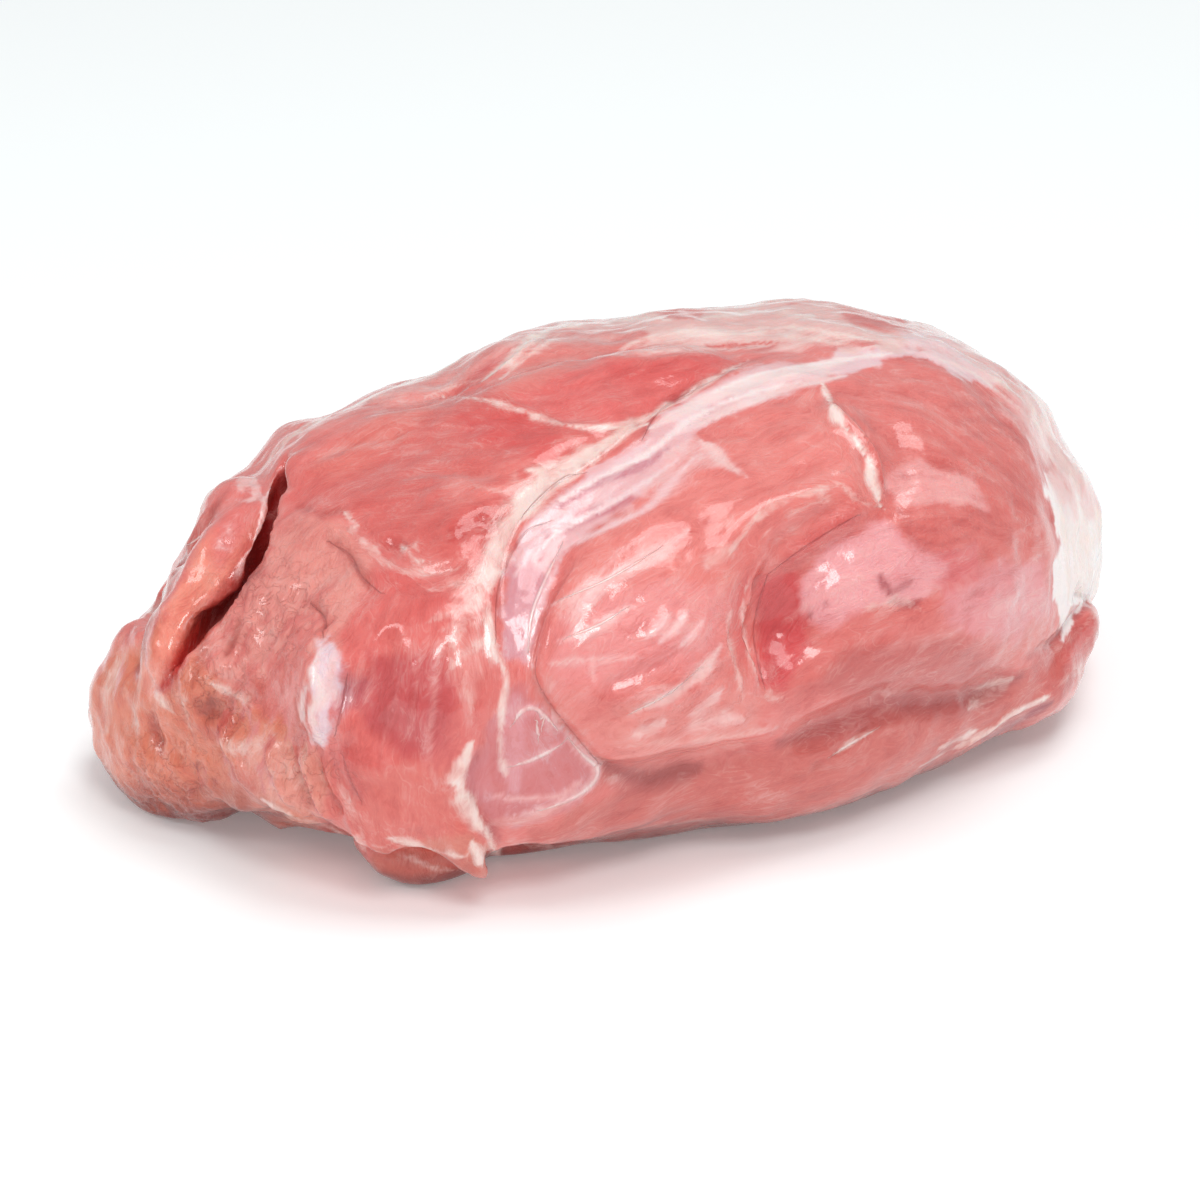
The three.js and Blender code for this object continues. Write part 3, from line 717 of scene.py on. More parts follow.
# Streaks of lean, and of painted shade where marked: line, half width in mm, strength from 0 to 1, colour.
LEAN_STREAKS = {"photograph": {
    "first red pit": ([(452, 540), (470, 528), (498, 519)], 3.6, 0.9, "#cb4744"),
    "second red pit": ([(382, 545), (405, 547)], 2.6, 0.8, "#cc504c"),
    "third red pit": ([(320, 515), (340, 511)], 2.6, 0.8, "#cf5c55"),
    "red beside the valley": ([(372, 575), (410, 590), (440, 600)], 4, 0.5, "#dc5f5b"),
    "red streak of the front": ([(412, 622), (425, 606), (440, 600)], 3.4, 0.5, "#d9605c"),
    "violet spot": ([(343, 704), (352, 694), (364, 684)], 4.5, 0.8, "#c05c66"),
    "beside the flap's ridge": ([(345, 745), (350, 775), (362, 800)], 3, 0.6, "#cb5250"),
    "shade of the seam": ([(738, 366), (705, 384), (658, 412), (641, 437)], 1.4, 0.6, "#c0484b"),
    # Painted shade: deep red down in the slit and on its wall.
    "slit": ([(279, 480), (271, 508), (263, 538), (252, 572), (226, 602)], 2.6, 1.0, "#860b0c"),
    "slit's end": ([(226, 602), (204, 628), (186, 652), (170, 680), (157, 692)], 2.6, 0.95, "#bf2f2a"),
    "slit's wall": ([(268, 496), (256, 530), (240, 566), (216, 600), (186, 640)], 1.7, 0.7, "#c94a37"),
    # Painted shade in the groove behind the far lip.
    "groove behind the lip": ([(226, 494), (196, 536), (170, 584), (146, 632), (138, 676)], 2.3, 0.7,
        "#ab4a42"),
    "vein": ([(212, 698), (211, 718)], 3.4, 0.75, "#a44438"),
    "round the vein": ([(225, 690), (232, 712), (218, 734), (198, 726)], 2.4, 0.6, "#c96055"),
    "lobe's streak": ([(152, 712), (156, 730), (161, 752)], 1.5, 0.7, "#b54a3e"),
    "lobe's first spot": ([(195, 766), (199, 769)], 1.5, 0.8, "#a8403a"),
    "lobe's second spot": ([(214, 779), (218, 783)], 1.3, 0.7, "#a8403a"),
    "lobe's third spot": ([(190, 790), (195, 793)], 1.5, 0.7, "#a8403a"),
    "lobe's red": ([(230, 775), (245, 782), (250, 792)], 3.6, 0.6, "#c4554c"),
    # Painted shade where the lobe meets the table.
    "lobe's underside": ([(170, 818), (230, 812), (285, 814)], 4, 0.9, "#8b3a31"),
    # Painted shade under the overhang of the middle muscle.
    "under the middle muscle": ([(596, 757), (620, 770), (650, 778), (700, 768)], 2.8, 0.85, "#ab4541"),
    "ledge shade": ([(780, 742), (840, 724), (890, 706), (960, 700), (1020, 676)], 3.8, 0.7, "#ad4f50"),
    "behind the flap's edge": ([(476, 752), (470, 785), (482, 815), (500, 842)], 2.0, 0.6, "#b9545a"),
    "red right of the flap": ([(478, 800), (500, 815), (530, 812)], 3.2, 0.55, "#d2625a"),
    # Painted shade under the round end.
    "underside of the round end": ([(983, 740), (1020, 720), (1052, 702)], 2.4, 0.8, "#9f5765"),
    "notch": ([(1098, 590), (1072, 620), (1046, 645), (1028, 660)], 1.7, 0.75, "#c24c49"),
    "red of the rolled edge": ([(1092, 622), (1078, 646), (1066, 660)], 3.4, 0.75, "#d65550"),
    "sliver under the top fat": ([(706, 347), (745, 345), (775, 342)], 1.3, 0.85, "#d3564f"),
    # Painted shade in the grooves of the wrinkles.
    "wrinkle one": ([(325, 540), (347, 551), (356, 566), (372, 590)], 1.2, 0.7, "#c45a51"),
    "wrinkle two": ([(310, 600), (325, 618), (323, 635)], 1.2, 0.7, "#c45a51"),
    "wrinkle three": ([(297, 505), (312, 511), (342, 510)], 1.2, 0.7, "#c8605a"),
    "wrinkle four": ([(240, 622), (232, 645), (224, 660)], 1.3, 0.75, "#b9564a"),
    "wrinkle five": ([(206, 625), (200, 655), (192, 690)], 1.3, 0.75, "#b4503f"),
    "beside the sinew": ([(298, 695), (300, 720), (296, 745)], 2.2, 0.6, "#cc6c60"),
    "left edge of the middle muscle": ([(574, 560), (552, 596), (541, 628), (537, 664)], 2.0, 0.6,
        "#de7f7b"),
    # Painted shade under the upper fold.
    "fold below the upper fold": ([(862, 516), (838, 528), (812, 545), (782, 566)], 2.2, 0.8, "#d65d5c"),
    "left of the hollow": ([(748, 575), (738, 610), (742, 655)], 2.2, 0.55, "#d75b5a"),
    "V mark": ([(878, 572), (884, 584), (890, 594)], 0.9, 0.75, "#a5404a"),
    "V mark, right": ([(890, 594), (900, 588), (912, 580)], 0.9, 0.5, "#a5404a"),
    "V mark, foot": ([(890, 600), (904, 604), (918, 602)], 0.9, 0.5, "#a5404a"),
    "first dot": ([(808, 614), (811, 615)], 1.0, 0.7, "#a5404a"),
    "second dot": ([(825, 604), (828, 605)], 0.9, 0.6, "#a5404a"),
    # Painted shade along faint wrinkles of the outer muscle.
    "curve one": ([(898, 508), (915, 526), (945, 530), (974, 514)], 0.9, 0.4, "#b95a5c"),
    "curve two": ([(900, 522), (918, 540), (948, 544), (978, 528)], 0.9, 0.4, "#b95a5c"),
    "curve three": ([(908, 538), (930, 552), (956, 552), (978, 540)], 0.9, 0.3, "#b95a5c"),
    "outer crease one": ([(944, 408), (980, 404), (1006, 412)], 0.9, 0.3, "#b95a5c"),
    "outer crease two": ([(950, 424), (985, 420), (1016, 430)], 0.9, 0.3, "#b95a5c"),
    "outer crease three": ([(962, 438), (996, 434), (1024, 444)], 0.9, 0.25, "#b95a5c"),
    "white edge's shade": ([(1052, 505), (1054, 530), (1060, 566), (1060, 600)], 1.2, 0.35, "#d07f80"),
}, "behind": {
    "far seam": ([(-128, 62), (-80, 74), (-30, 66), (20, 74), (64, 96)], 2.2, 0.6, "#be524f"),
    "far cross seam": ([(64, 92), (68, 80), (74, 50), (66, 16)], 2.0, 0.6, "#be524f"),
    "far foot": ([(-110, 8), (-40, 6), (30, 8), (100, 10)], 5, 0.5, "#d0726a"),
}, "round end": {
    "round end's crease": ([(-46, 40), (-26, 36), (0, 42), (40, 32), (70, 16)], 2.2, 0.6, "#c2585a"),
}}
# Fat and sinew with a soft edge: line, half width in mm, amount from 0 to 1.
FAT_STREAKS = {"photograph": {
    "triangle, right": ([(648, 424), (622, 434), (592, 452), (560, 474)], 1.9, 0.95),
    "triangle, middle": ([(606, 446), (570, 468), (540, 484), (526, 500)], 2.6, 1.0),
    "triangle, left": ([(530, 470), (546, 474), (530, 498), (514, 522)], 3.4, 0.95),
    "left of the triangle": ([(516, 468), (510, 500), (498, 520)], 2.6, 0.45),
    "along the seam": ([(516, 516), (502, 540), (495, 566), (490, 590)], 2.8, 0.85),
    "pale line": ([(436, 397), (480, 399), (519, 410), (558, 423), (601, 428), (645, 418), (680, 398),
        (724, 372), (750, 360)], 1.3, 0.75),
    "pale line, right": ([(601, 429), (640, 422), (682, 398), (735, 368)], 1.7, 0.8),
    "pale zone": ([(494, 560), (480, 585), (470, 610)], 5.5, 0.55),
    "left of the cord": ([(474, 590), (462, 620), (452, 645)], 3.6, 0.5),
    "first finger": ([(486, 572), (455, 585), (430, 590)], 1.8, 0.55),
    "second finger": ([(480, 610), (452, 612), (428, 622)], 1.5, 0.5),
    "third finger": ([(484, 640), (462, 655), (448, 676)], 1.6, 0.5),
    "cord": ([(499, 545), (491, 592), (489, 628), (494, 653), (506, 675), (503, 700), (500, 736),
        (503, 765), (508, 776)], 1.1, 0.8),
    "cord's foot": ([(502, 748), (505, 776)], 1.5, 0.6),
    "top fat, first band": ([(550, 330), (600, 322), (650, 318), (668, 320)], 3.0, 0.75),
    "top fat, second band": ([(622, 350), (634, 343), (666, 336), (720, 332), (790, 336), (850, 345)], 3.4,
        0.66),
    "top fat, third band": ([(700, 318), (760, 312), (830, 318)], 3.2, 0.7),
    "top fat, fourth band": ([(740, 330), (800, 328), (870, 340)], 2.2, 0.75),
    "flank's streak": ([(483, 381), (508, 361), (530, 341), (556, 324)], 2.3, 0.85),
    "second streak of the flank": ([(500, 380), (528, 356), (560, 334)], 1.3, 0.6),
    "left of the flank": ([(425, 397), (455, 386), (484, 379)], 2.0, 0.55),
    "outline of the fore muscle": ([(318, 410), (350, 396), (390, 384)], 2.2, 0.5),
    "rim, inner": ([(905, 354), (946, 362), (974, 382), (1012, 414), (1040, 454), (1054, 490)], 1.1, 0.5),
    "rim, middle": ([(966, 360), (1010, 388), (1046, 426), (1072, 480)], 2.6, 0.75),
    "rim, outer": ([(1000, 374), (1050, 412), (1080, 462), (1090, 500)], 3.2, 0.6),
    "round end patch": ([(1078, 500), (1086, 550), (1080, 600)], 4.0, 1.0),
    "round end patch, near": ([(1060, 500), (1064, 530), (1069, 570), (1068, 605)], 1.6, 1.0),
    "round end patch, far": ([(1096, 510), (1104, 560), (1092, 596)], 5.0, 0.95),
    "free edge": ([(826, 391), (832, 410), (850, 434), (866, 458), (872, 482), (883, 509)], 1.4, 1.1),
    "free edge, upper": ([(822, 382), (830, 402), (846, 426), (856, 442)], 1.1, 0.95),
    "free edge, widest": ([(866, 456), (873, 480), (881, 506)], 1.5, 0.7),
    "free edge, lower": ([(882, 508), (856, 500), (838, 484), (812, 492), (770, 506), (748, 528),
        (730, 552)], 1.7, 0.6),
    "strand of the lower edge": ([(840, 496), (806, 506), (776, 524), (756, 546)], 1.1, 0.5),
    "torn fringe": ([(752, 572), (742, 606), (746, 645), (756, 672), (762, 700)], 1.1, 0.55),
    "torn fringe, second": ([(736, 596), (728, 636), (738, 672), (742, 700)], 1.2, 0.55),
    "torn fringe, foot": ([(748, 694), (772, 698), (800, 706)], 1.8, 0.5),
    "sinew end": ([(322, 648), (318, 680), (320, 710), (314, 742)], 3.8, 0.32),
    "sinew's white": ([(318, 690), (312, 712), (320, 728)], 1.4, 0.6),
    "below the sinew": ([(306, 740), (300, 765), (296, 790)], 3.0, 0.45),
    "ridge of the flap": ([(330, 752), (340, 785), (352, 812), (366, 846)], 1.3, 0.5),
    "left end of the flap": ([(356, 838), (366, 852)], 1.8, 0.6),
    "flap's near edge": ([(472, 742), (461, 768), (460, 790), (474, 816), (490, 838), (500, 862)], 2.1,
        1.0),
    "flap's point": ([(472, 842), (482, 866)], 2.7, 0.85),
    "flap's ragged end": ([(470, 858), (440, 852), (412, 844), (388, 838)], 1.9, 0.8),
    "second ragged end": ([(372, 846), (400, 852), (430, 866), (468, 872)], 1.2, 0.6),
    "inside the near edge": ([(452, 760), (448, 790), (458, 812)], 2.4, 0.4),
    "left of the flap": ([(262, 800), (290, 816), (320, 824), (350, 838)], 1.8, 0.6),
    "far lip's cream": ([(178, 570), (164, 592), (145, 640), (139, 690)], 1.4, 0.5),
    "behind the lip": ([(206, 515), (190, 545), (176, 566)], 1.1, 0.3),
    "cream ridge": ([(206, 680), (232, 694), (258, 708)], 1.7, 0.65),
    "ridge beside the vein": ([(186, 690), (184, 712), (194, 734)], 1.6, 0.55),
    "lobe's cream": ([(118, 664), (106, 696), (106, 730)], 3.8, 0.55),
    "lobe's second cream": ([(140, 680), (134, 712), (140, 744)], 2.2, 0.5),
    "lobe's third cream": ([(214, 742), (246, 748), (275, 735)], 2.4, 0.5),
    "lobe's fourth cream": ([(120, 770), (150, 786), (176, 782)], 2.6, 0.3),
    "torn bit under the slit": ([(154, 694), (164, 702), (172, 712)], 1.8, 0.7),
    "first fat spot": ([(340, 512), (348, 514), (352, 522), (358, 530)], 0.9, 0.65),
    "second fat spot": ([(358, 536), (366, 544), (380, 552)], 1.2, 0.6),
    "third fat spot": ([(398, 545), (408, 552), (414, 560), (430, 562)], 0.9, 0.7),
    "fourth fat spot": ([(420, 538), (414, 546), (424, 554)], 0.9, 0.55),
    "fat valley": ([(350, 530), (385, 562), (430, 575), (470, 566)], 1.6, 0.5),
    "thin fat of the fore muscle": ([(466, 485), (490, 488), (514, 498)], 1.2, 0.5),
    "second thin fat": ([(430, 500), (470, 502), (500, 512)], 1.1, 0.35),
    "rolled edge, cream": ([(1100, 652), (1080, 670), (1052, 688)], 1.3, 0.5),
    "rolled edge, top": ([(1106, 602), (1085, 624), (1060, 648)], 1.4, 0.45),
    "white below the ledge": ([(968, 708), (990, 690), (1012, 678)], 2.6, 0.7),
    "bottom edge": ([(920, 767), (950, 750), (984, 735), (1014, 714), (1048, 697)], 1.7, 0.85),
    "bottom patch": ([(940, 748), (974, 732)], 2.8, 0.85),
    "nick": ([(826, 761), (845, 747), (862, 736), (880, 727)], 0.8, 0.55),
    "small patch at the foot": ([(606, 778), (622, 782), (626, 796)], 2.4, 0.42),
    "base spot": ([(768, 797), (790, 794)], 2.4, 0.35),
    "foot fat": ([(500, 840), (560, 846), (640, 830)], 2.2, 0.4),
    "foot fat, right": ([(640, 822), (720, 818), (800, 800)], 2.0, 0.3),
    "outer muscle's patch": ([(860, 612), (900, 600), (925, 612)], 1.3, 0.5),
}, "behind": {
    "far seam's fat": ([(-128, 65), (-80, 78), (-30, 70), (20, 78), (64, 99)], 1.7, 0.6),
    "far cross seam's fat": ([(67, 92), (71, 80), (77, 50), (70, 16)], 1.5, 0.55),
    "far fat patch": ([(86, 70), (104, 56), (110, 36)], 9.0, 0.6),
    "far fat streak": ([(-60, 46), (-10, 38), (40, 48)], 2.2, 0.5),
    "second far streak": ([(-96, 30), (-60, 26), (-30, 32)], 1.8, 0.45),
}, "above": {
    "far edge of the top": ([(-120, 30), (-60, 44), (0, 50), (70, 46), (120, 30)], 4.0, 0.7),
    "far streak": ([(-60, 62), (0, 70), (60, 64)], 2.6, 0.5),
}, "round end": {
    "round end's cap": ([(-40, 66), (-30, 80), (-10, 90), (14, 98)], 5.5, 0.7),
    "round end patch, beyond": ([(-46, 54), (-32, 42), (-26, 26)], 7.0, 0.6),
    "round end's seam": ([(-46, 40), (-26, 36), (0, 42), (40, 32), (70, 16)], 2.4, 0.65),
    "round end's low fat": ([(-44, 14), (-16, 10), (20, 12)], 4.0, 0.55),
    "round end's streak": ([(20, 80), (50, 60), (66, 40)], 2.6, 0.5),
}, "cut end": {
    "cut end's streak": ([(60, 30), (40, 44), (20, 58)], 2.8, 0.55),
    "cut end's low streak": ([(50, 12), (30, 24), (10, 30)], 2.2, 0.4),
}}
# Where the lean shows through the fat and membrane: outline, softness in mm.
BARE_PATCHES = {"photograph": {
    "nape": ([(840, 308), (868, 310), (898, 314), (908, 330), (884, 334), (856, 324)], 3.5),
    "crown": ([(650, 304), (680, 302), (704, 308), (700, 318), (668, 320)], 1.5),
    "under the top fat": ([(706, 347), (740, 344), (776, 342), (742, 347)], 0.6),
}}
# Silverskin in sheets, and painted shade where marked: outline, softness in mm, amount from 0 to 1, colour.
WHITE_FILM = "#f8dcdb"
PINK_FILM = "#eeb6b8"
LILAC_FILM = "#dc9fa9"
FILM_PATCHES = {"photograph": {
    "band": ([(745, 363), (905, 352), (846, 376), (800, 386), (745, 408), (706, 424), (696, 440),
        (674, 474), (640, 500), (600, 530), (564, 552), (550, 580), (538, 620), (532, 665), (505, 655),
        (497, 612), (505, 565), (524, 524), (571, 480), (605, 460), (640, 440), (664, 410), (712, 384)],
        2.0, 0.85, "#efbdc0"),
    "band's lilac": ([(500, 570), (530, 555), (548, 570), (540, 640), (526, 668), (498, 660)], 4, 0.8,
        "#d99aa4"),
    "band's upper half": ([(668, 416), (720, 386), (800, 372), (880, 354), (846, 374), (760, 398),
        (704, 422), (680, 440)], 3, 0.9, "#f6d3d4"),
    "band into the rim": ([(836, 344), (905, 340), (960, 350), (1006, 380), (992, 392), (950, 370),
        (905, 358), (862, 372), (830, 372)], 1.5, 0.85, "#efcacf"),
    "torn end of the band": ([(640, 492), (664, 462), (694, 434), (712, 446), (728, 466), (704, 470),
        (690, 486), (664, 500)], 2.5, 0.55, "#f0b9b8"),
    "lilac patch": ([(503, 686), (522, 676), (562, 726), (599, 768), (592, 790), (560, 820), (490, 828),
        (464, 797), (463, 770), (482, 735)], 2.0, 0.6, "#d07e85"),
    "over the middle muscle": ([(545, 610), (640, 545), (700, 515), (690, 540), (620, 590), (560, 640)], 4,
        0.35, WHITE_FILM),
    "top": ([(540, 330), (560, 306), (700, 296), (900, 296), (960, 330), (930, 352), (850, 350), (735, 352),
        (620, 356), (640, 338), (600, 334)], 3, 0.7, "#f5cbc5"),
    "nape": ([(890, 312), (950, 318), (1014, 352), (1003, 384), (950, 366), (905, 354)], 3, 0.75,
        "#f6d7d9"),
    "rim": ([(1010, 366), (1050, 398), (1090, 445), (1120, 520), (1115, 600), (1062, 600), (1058, 480),
        (1034, 430)], 1.5, 0.8, "#f3d0d2"),
    "round end patch": ([(1043, 472), (1074, 486), (1100, 516), (1114, 590), (1084, 604), (1062, 640),
        (1053, 600), (1053, 540)], 1.2, 1.0, "#fff3f1"),
    "front's pale": ([(440, 570), (492, 560), (492, 680), (476, 740), (455, 720), (440, 640)], 5, 0.42,
        "#f4beb6"),
    # Painted shade: lilac-grey on the right side of the sinew's end.
    "beside the sinew": ([(322, 650), (352, 660), (356, 700), (340, 740), (322, 740)], 4, 0.5, "#d59aa4"),
    "sinew end": ([(316, 642), (330, 634), (346, 652), (338, 674), (348, 690), (332, 710), (338, 728),
        (322, 752), (308, 744), (314, 714), (302, 690), (313, 668)], 2.0, 0.72, "#ecd8e2"),
    "low outer patch": ([(955, 600), (1040, 575), (1056, 620), (1000, 660), (950, 650)], 6, 0.12,
        PINK_FILM),
}, "behind": {
    "far side": ([(-70, 30), (-10, 24), (50, 34), (58, 66), (10, 62), (-60, 60)], 9, 0.5, PINK_FILM),
    "far round end": ([(90, 20), (140, 20), (140, 90), (96, 100), (84, 60)], 9, 0.5, WHITE_FILM),
    "far lilac": ([(-110, 20), (-80, 16), (-70, 40), (-100, 52)], 8, 0.45, LILAC_FILM),
}, "above": {
    "above": ([(-70, 20), (20, 20), (110, 0), (130, 30), (60, 56), (-60, 54)], 9, 0.4, "#f3c5bf"),
}, "round end": {
    "round end": ([(-52, 58), (-42, 98), (20, 110), (60, 80), (40, 50), (-10, 56)], 7, 0.6, "#f4d0cd"),
    "round end, low": ([(10, 44), (60, 36), (70, 8), (20, 8)], 8, 0.4, LILAC_FILM),
}}
# Silverskin in streaks, and painted highlights where the wet meat shines: line, half width in mm,
# amount, colour.
FILM_AND_HIGHLIGHT_STREAKS = {"photograph": {
    "band, first white": ([(512, 560), (530, 528), (566, 494), (610, 470), (650, 440)], 1.4, 0.6,
        "#f1ccd0"),
    "band, second white": ([(556, 552), (602, 530), (650, 506), (676, 476), (694, 458)], 1.6, 0.8,
        "#f3ccce"),
    "band, third white": ([(650, 428), (700, 402), (745, 384), (800, 370), (870, 354)], 2.2, 0.9,
        "#f9dedc"),
    "band, fourth white": ([(700, 424), (740, 406), (790, 388), (845, 376)], 1.6, 0.85, "#f7d6d4"),
    "band, dark streak": ([(540, 558), (545, 538), (570, 522), (602, 510), (634, 498)], 1.9, 0.75,
        "#cf808b"),
    "band, second dark streak": ([(560, 506), (596, 484), (640, 466), (668, 448)], 1.3, 0.7, "#d28d98"),
    "band, third dark streak": ([(690, 420), (730, 400), (770, 388)], 1.2, 0.6, "#dd9fa6"),
    "torn end of the band": ([(698, 440), (714, 450), (724, 462), (746, 477)], 1.9, 0.85, "#f3c5c2"),
    "rim of the middle muscle": ([(562, 558), (543, 596), (530, 628), (527, 660)], 1.0, 0.75, "#efc6ca"),
    "first diagonal": ([(548, 606), (591, 588), (642, 563), (688, 531)], 1.7, 0.6, "#f7c8c5"),
    "second diagonal": ([(559, 642), (595, 628), (631, 606)], 1.6, 0.55, "#f6c4c1"),
    "third diagonal": ([(541, 664), (602, 659), (645, 657)], 1.0, 0.5, "#f7c8c5"),
    "fourth diagonal": ([(600, 574), (620, 552), (656, 530)], 1.1, 0.45, "#f6c4c1"),
    "short one": ([(592, 664), (594, 682)], 0.9, 0.45, "#f7c8c5"),
    # Painted highlights: glints on the wet welts of the middle muscle.
    "shine, first": ([(645, 638), (660, 626), (672, 614)], 1.2, 0.65, "#fad4d2"),
    "shine, second": ([(660, 642), (676, 628), (690, 612)], 1.3, 0.6, "#fad4d2"),
    "shine, third": ([(680, 648), (694, 634), (706, 616)], 1.2, 0.6, "#fad4d2"),
    "shine, long": ([(624, 716), (648, 706), (680, 690), (706, 668), (720, 646)], 1.7, 0.75, "#f9cfcb"),
    "shine, long, lower": ([(616, 704), (640, 696), (666, 684)], 1.2, 0.55, "#f7c8c5"),
    "shine, low": ([(628, 738), (646, 730), (664, 722)], 1.8, 0.65, "#f8ccc8"),
    "shine, big": ([(684, 730), (706, 722), (728, 718), (748, 722)], 2.2, 0.6, "#f8cdca"),
    "shine, big, left": ([(690, 716), (710, 702), (722, 690)], 1.9, 0.6, "#f8cdca"),
    # Painted highlight along the lip above the foot.
    "lip of the foot": ([(620, 748), (660, 742), (720, 738), (780, 728)], 1.3, 0.5, "#f3b7ae"),
    "near the fold": ([(706, 566), (718, 556), (736, 546)], 2.4, 0.6, "#f4bdb6"),
    "front, first": ([(401, 660), (398, 690), (388, 724), (380, 760)], 1.3, 0.3, "#f3b9b3"),
    "front, second": ([(420, 650), (416, 690), (408, 742)], 1.3, 0.3, "#f3b9b3"),
    "front, third": ([(440, 640), (434, 700), (428, 750), (436, 790)], 1.3, 0.4, "#f3b9b3"),
    "front, fourth": ([(376, 650), (372, 676), (366, 700)], 1.2, 0.3, "#f3b9b3"),
    "outer muscle, streak": ([(948, 640), (990, 610), (1040, 588)], 1.8, 0.25, "#f1b6b8"),
    "outer muscle, second": ([(870, 660), (920, 640), (960, 632)], 1.8, 0.35, "#efb0ac"),
    "outer muscle, third": ([(890, 400), (940, 410), (990, 440)], 1.2, 0.3, "#efaaa4"),
    "fore muscle, first": ([(420, 425), (470, 428), (520, 425)], 1.0, 0.25, "#f3b3ab"),
    "fore muscle, second": ([(300, 470), (340, 450), (400, 446)], 1.4, 0.3, "#f0aba2"),
    "lilac patch, streak": ([(515, 700), (512, 740), (515, 790)], 2.4, 0.5, "#dfa3ad"),
    "lilac patch, right": ([(562, 728), (582, 752), (598, 768), (592, 784), (570, 800), (540, 812),
        (506, 818)], 1.2, 0.7, "#efc2c4"),
    "lilac patch, lower": ([(494, 797), (530, 799), (560, 795), (584, 778)], 0.8, 0.5, "#eebdbe"),
    "lilac patch, lowest": ([(488, 824), (530, 820), (566, 805)], 1.3, 0.5, "#e9aeab"),
    "lilac patch, middle": ([(510, 767), (529, 761), (547, 753), (563, 744)], 1.0, 0.45, "#e3a9b0"),
    "lilac patch, upper": ([(512, 725), (521, 712), (534, 708), (547, 718), (558, 730)], 1.0, 0.45,
        "#e3a9b0"),
    "rim, first": ([(930, 356), (975, 374), (1018, 408)], 0.9, 0.6, "#fbe4e0"),
    "sinew end's white": ([(322, 648), (312, 672), (324, 696), (310, 716), (322, 744)], 1.2, 0.8,
        "#f8e0df"),
    "sinew end's second": ([(306, 684), (302, 712), (312, 742)], 1.2, 0.7, "#f6dad8"),
    "sinew end's third": ([(334, 652), (330, 680), (338, 706)], 1.2, 0.65, "#f4d4d6"),
    "band, first long white": ([(534, 562), (552, 536), (590, 514), (640, 486), (680, 458)], 0.8, 0.6,
        "#f6d8da"),
    "band, second long white": ([(514, 578), (534, 544), (574, 512)], 0.8, 0.5, "#f3d2d6"),
    "band, third long white": ([(560, 500), (606, 474), (650, 452), (690, 420), (742, 396), (800, 382)],
        0.9, 0.75, "#fce9e8"),
    "band, fourth long white": ([(706, 396), (760, 374), (830, 362), (900, 352)], 0.9, 0.75, "#fdeeec"),
    "wedge, low streak": ([(480, 404), (520, 400), (556, 396)], 1.2, 0.35, "#f3b3ab"),
}, "behind": {
    "far one": ([(-60, 40), (0, 36), (50, 50)], 3.0, 0.6, WHITE_FILM),
    "far two": ([(-50, 54), (0, 52), (40, 60)], 2.0, 0.6, "#f5cfcd"),
    "far three": ([(-100, 46), (-70, 52), (-40, 50)], 1.6, 0.5, "#f3c4bf"),
}}
# Threads of sinew, thinner than a face: line, half width in mm.
THREADS = {"photograph": {
    "sinew of the far lip": ([(212, 520), (198, 538), (186, 546)], 0.3),
    "diagonal": ([(560, 600), (610, 578), (660, 548)], 0.25),
    "second diagonal": ([(566, 638), (600, 624), (626, 608)], 0.25),
    # Painted highlight: a pale glint along the long welt.
    "long shine": ([(630, 714), (668, 694), (700, 668)], 0.25),
    "nick": ([(830, 757), (850, 744), (878, 728)], 0.3),
    "arc of the net": ([(512, 726), (521, 712), (534, 708), (547, 718), (557, 729)], 0.5),
    "post of the net": ([(537, 720), (538, 740)], 0.4),
    "floor of the net": ([(511, 767), (529, 761), (547, 753), (562, 744)], 0.5),
    "edge of the net": ([(568, 738), (584, 756), (598, 769), (593, 783), (572, 799), (540, 811)], 0.5),
    "rim of the band": ([(562, 545), (545, 580), (532, 614), (528, 650)], 0.4),
}}
# Painted shade: dark lines along creases and seams, thinner than a face: line, half width in mm.
CREASE_SHADE_LINES = {"photograph": {
    "seam": ([(738, 367), (712, 381), (660, 411), (643, 438)], 0.35),
    "seam below": ([(584, 473), (566, 477), (544, 494), (522, 516)], 0.35),
    "fold in the band": ([(549, 522), (528, 530), (512, 552), (500, 585), (496, 614), (496, 640)], 0.35),
    "edge of the middle muscle": ([(536, 660), (536, 676), (546, 698), (566, 724), (584, 746), (600, 764)],
        0.5),
    "between the folds": ([(858, 515), (836, 528), (806, 547), (776, 568)], 0.3),
    "torn edge": ([(768, 574), (760, 600), (754, 630), (758, 660), (764, 686)], 0.4),
    "crack in the flap": ([(343, 755), (349, 778), (361, 801)], 0.4),
    "fold beside the sinew": ([(347, 676), (343, 705), (335, 735)], 0.3),
    "first wrinkle": ([(330, 542), (350, 556), (362, 578), (382, 594)], 0.35),
    "second wrinkle": ([(312, 604), (325, 620), (323, 636)], 0.3),
}, "behind": {
    "far seam": ([(-120, 62), (-80, 74), (-30, 66), (20, 74), (60, 94)], 0.4),
    "far cross seam": ([(65, 90), (68, 80), (74, 50), (67, 20)], 0.35),
}}
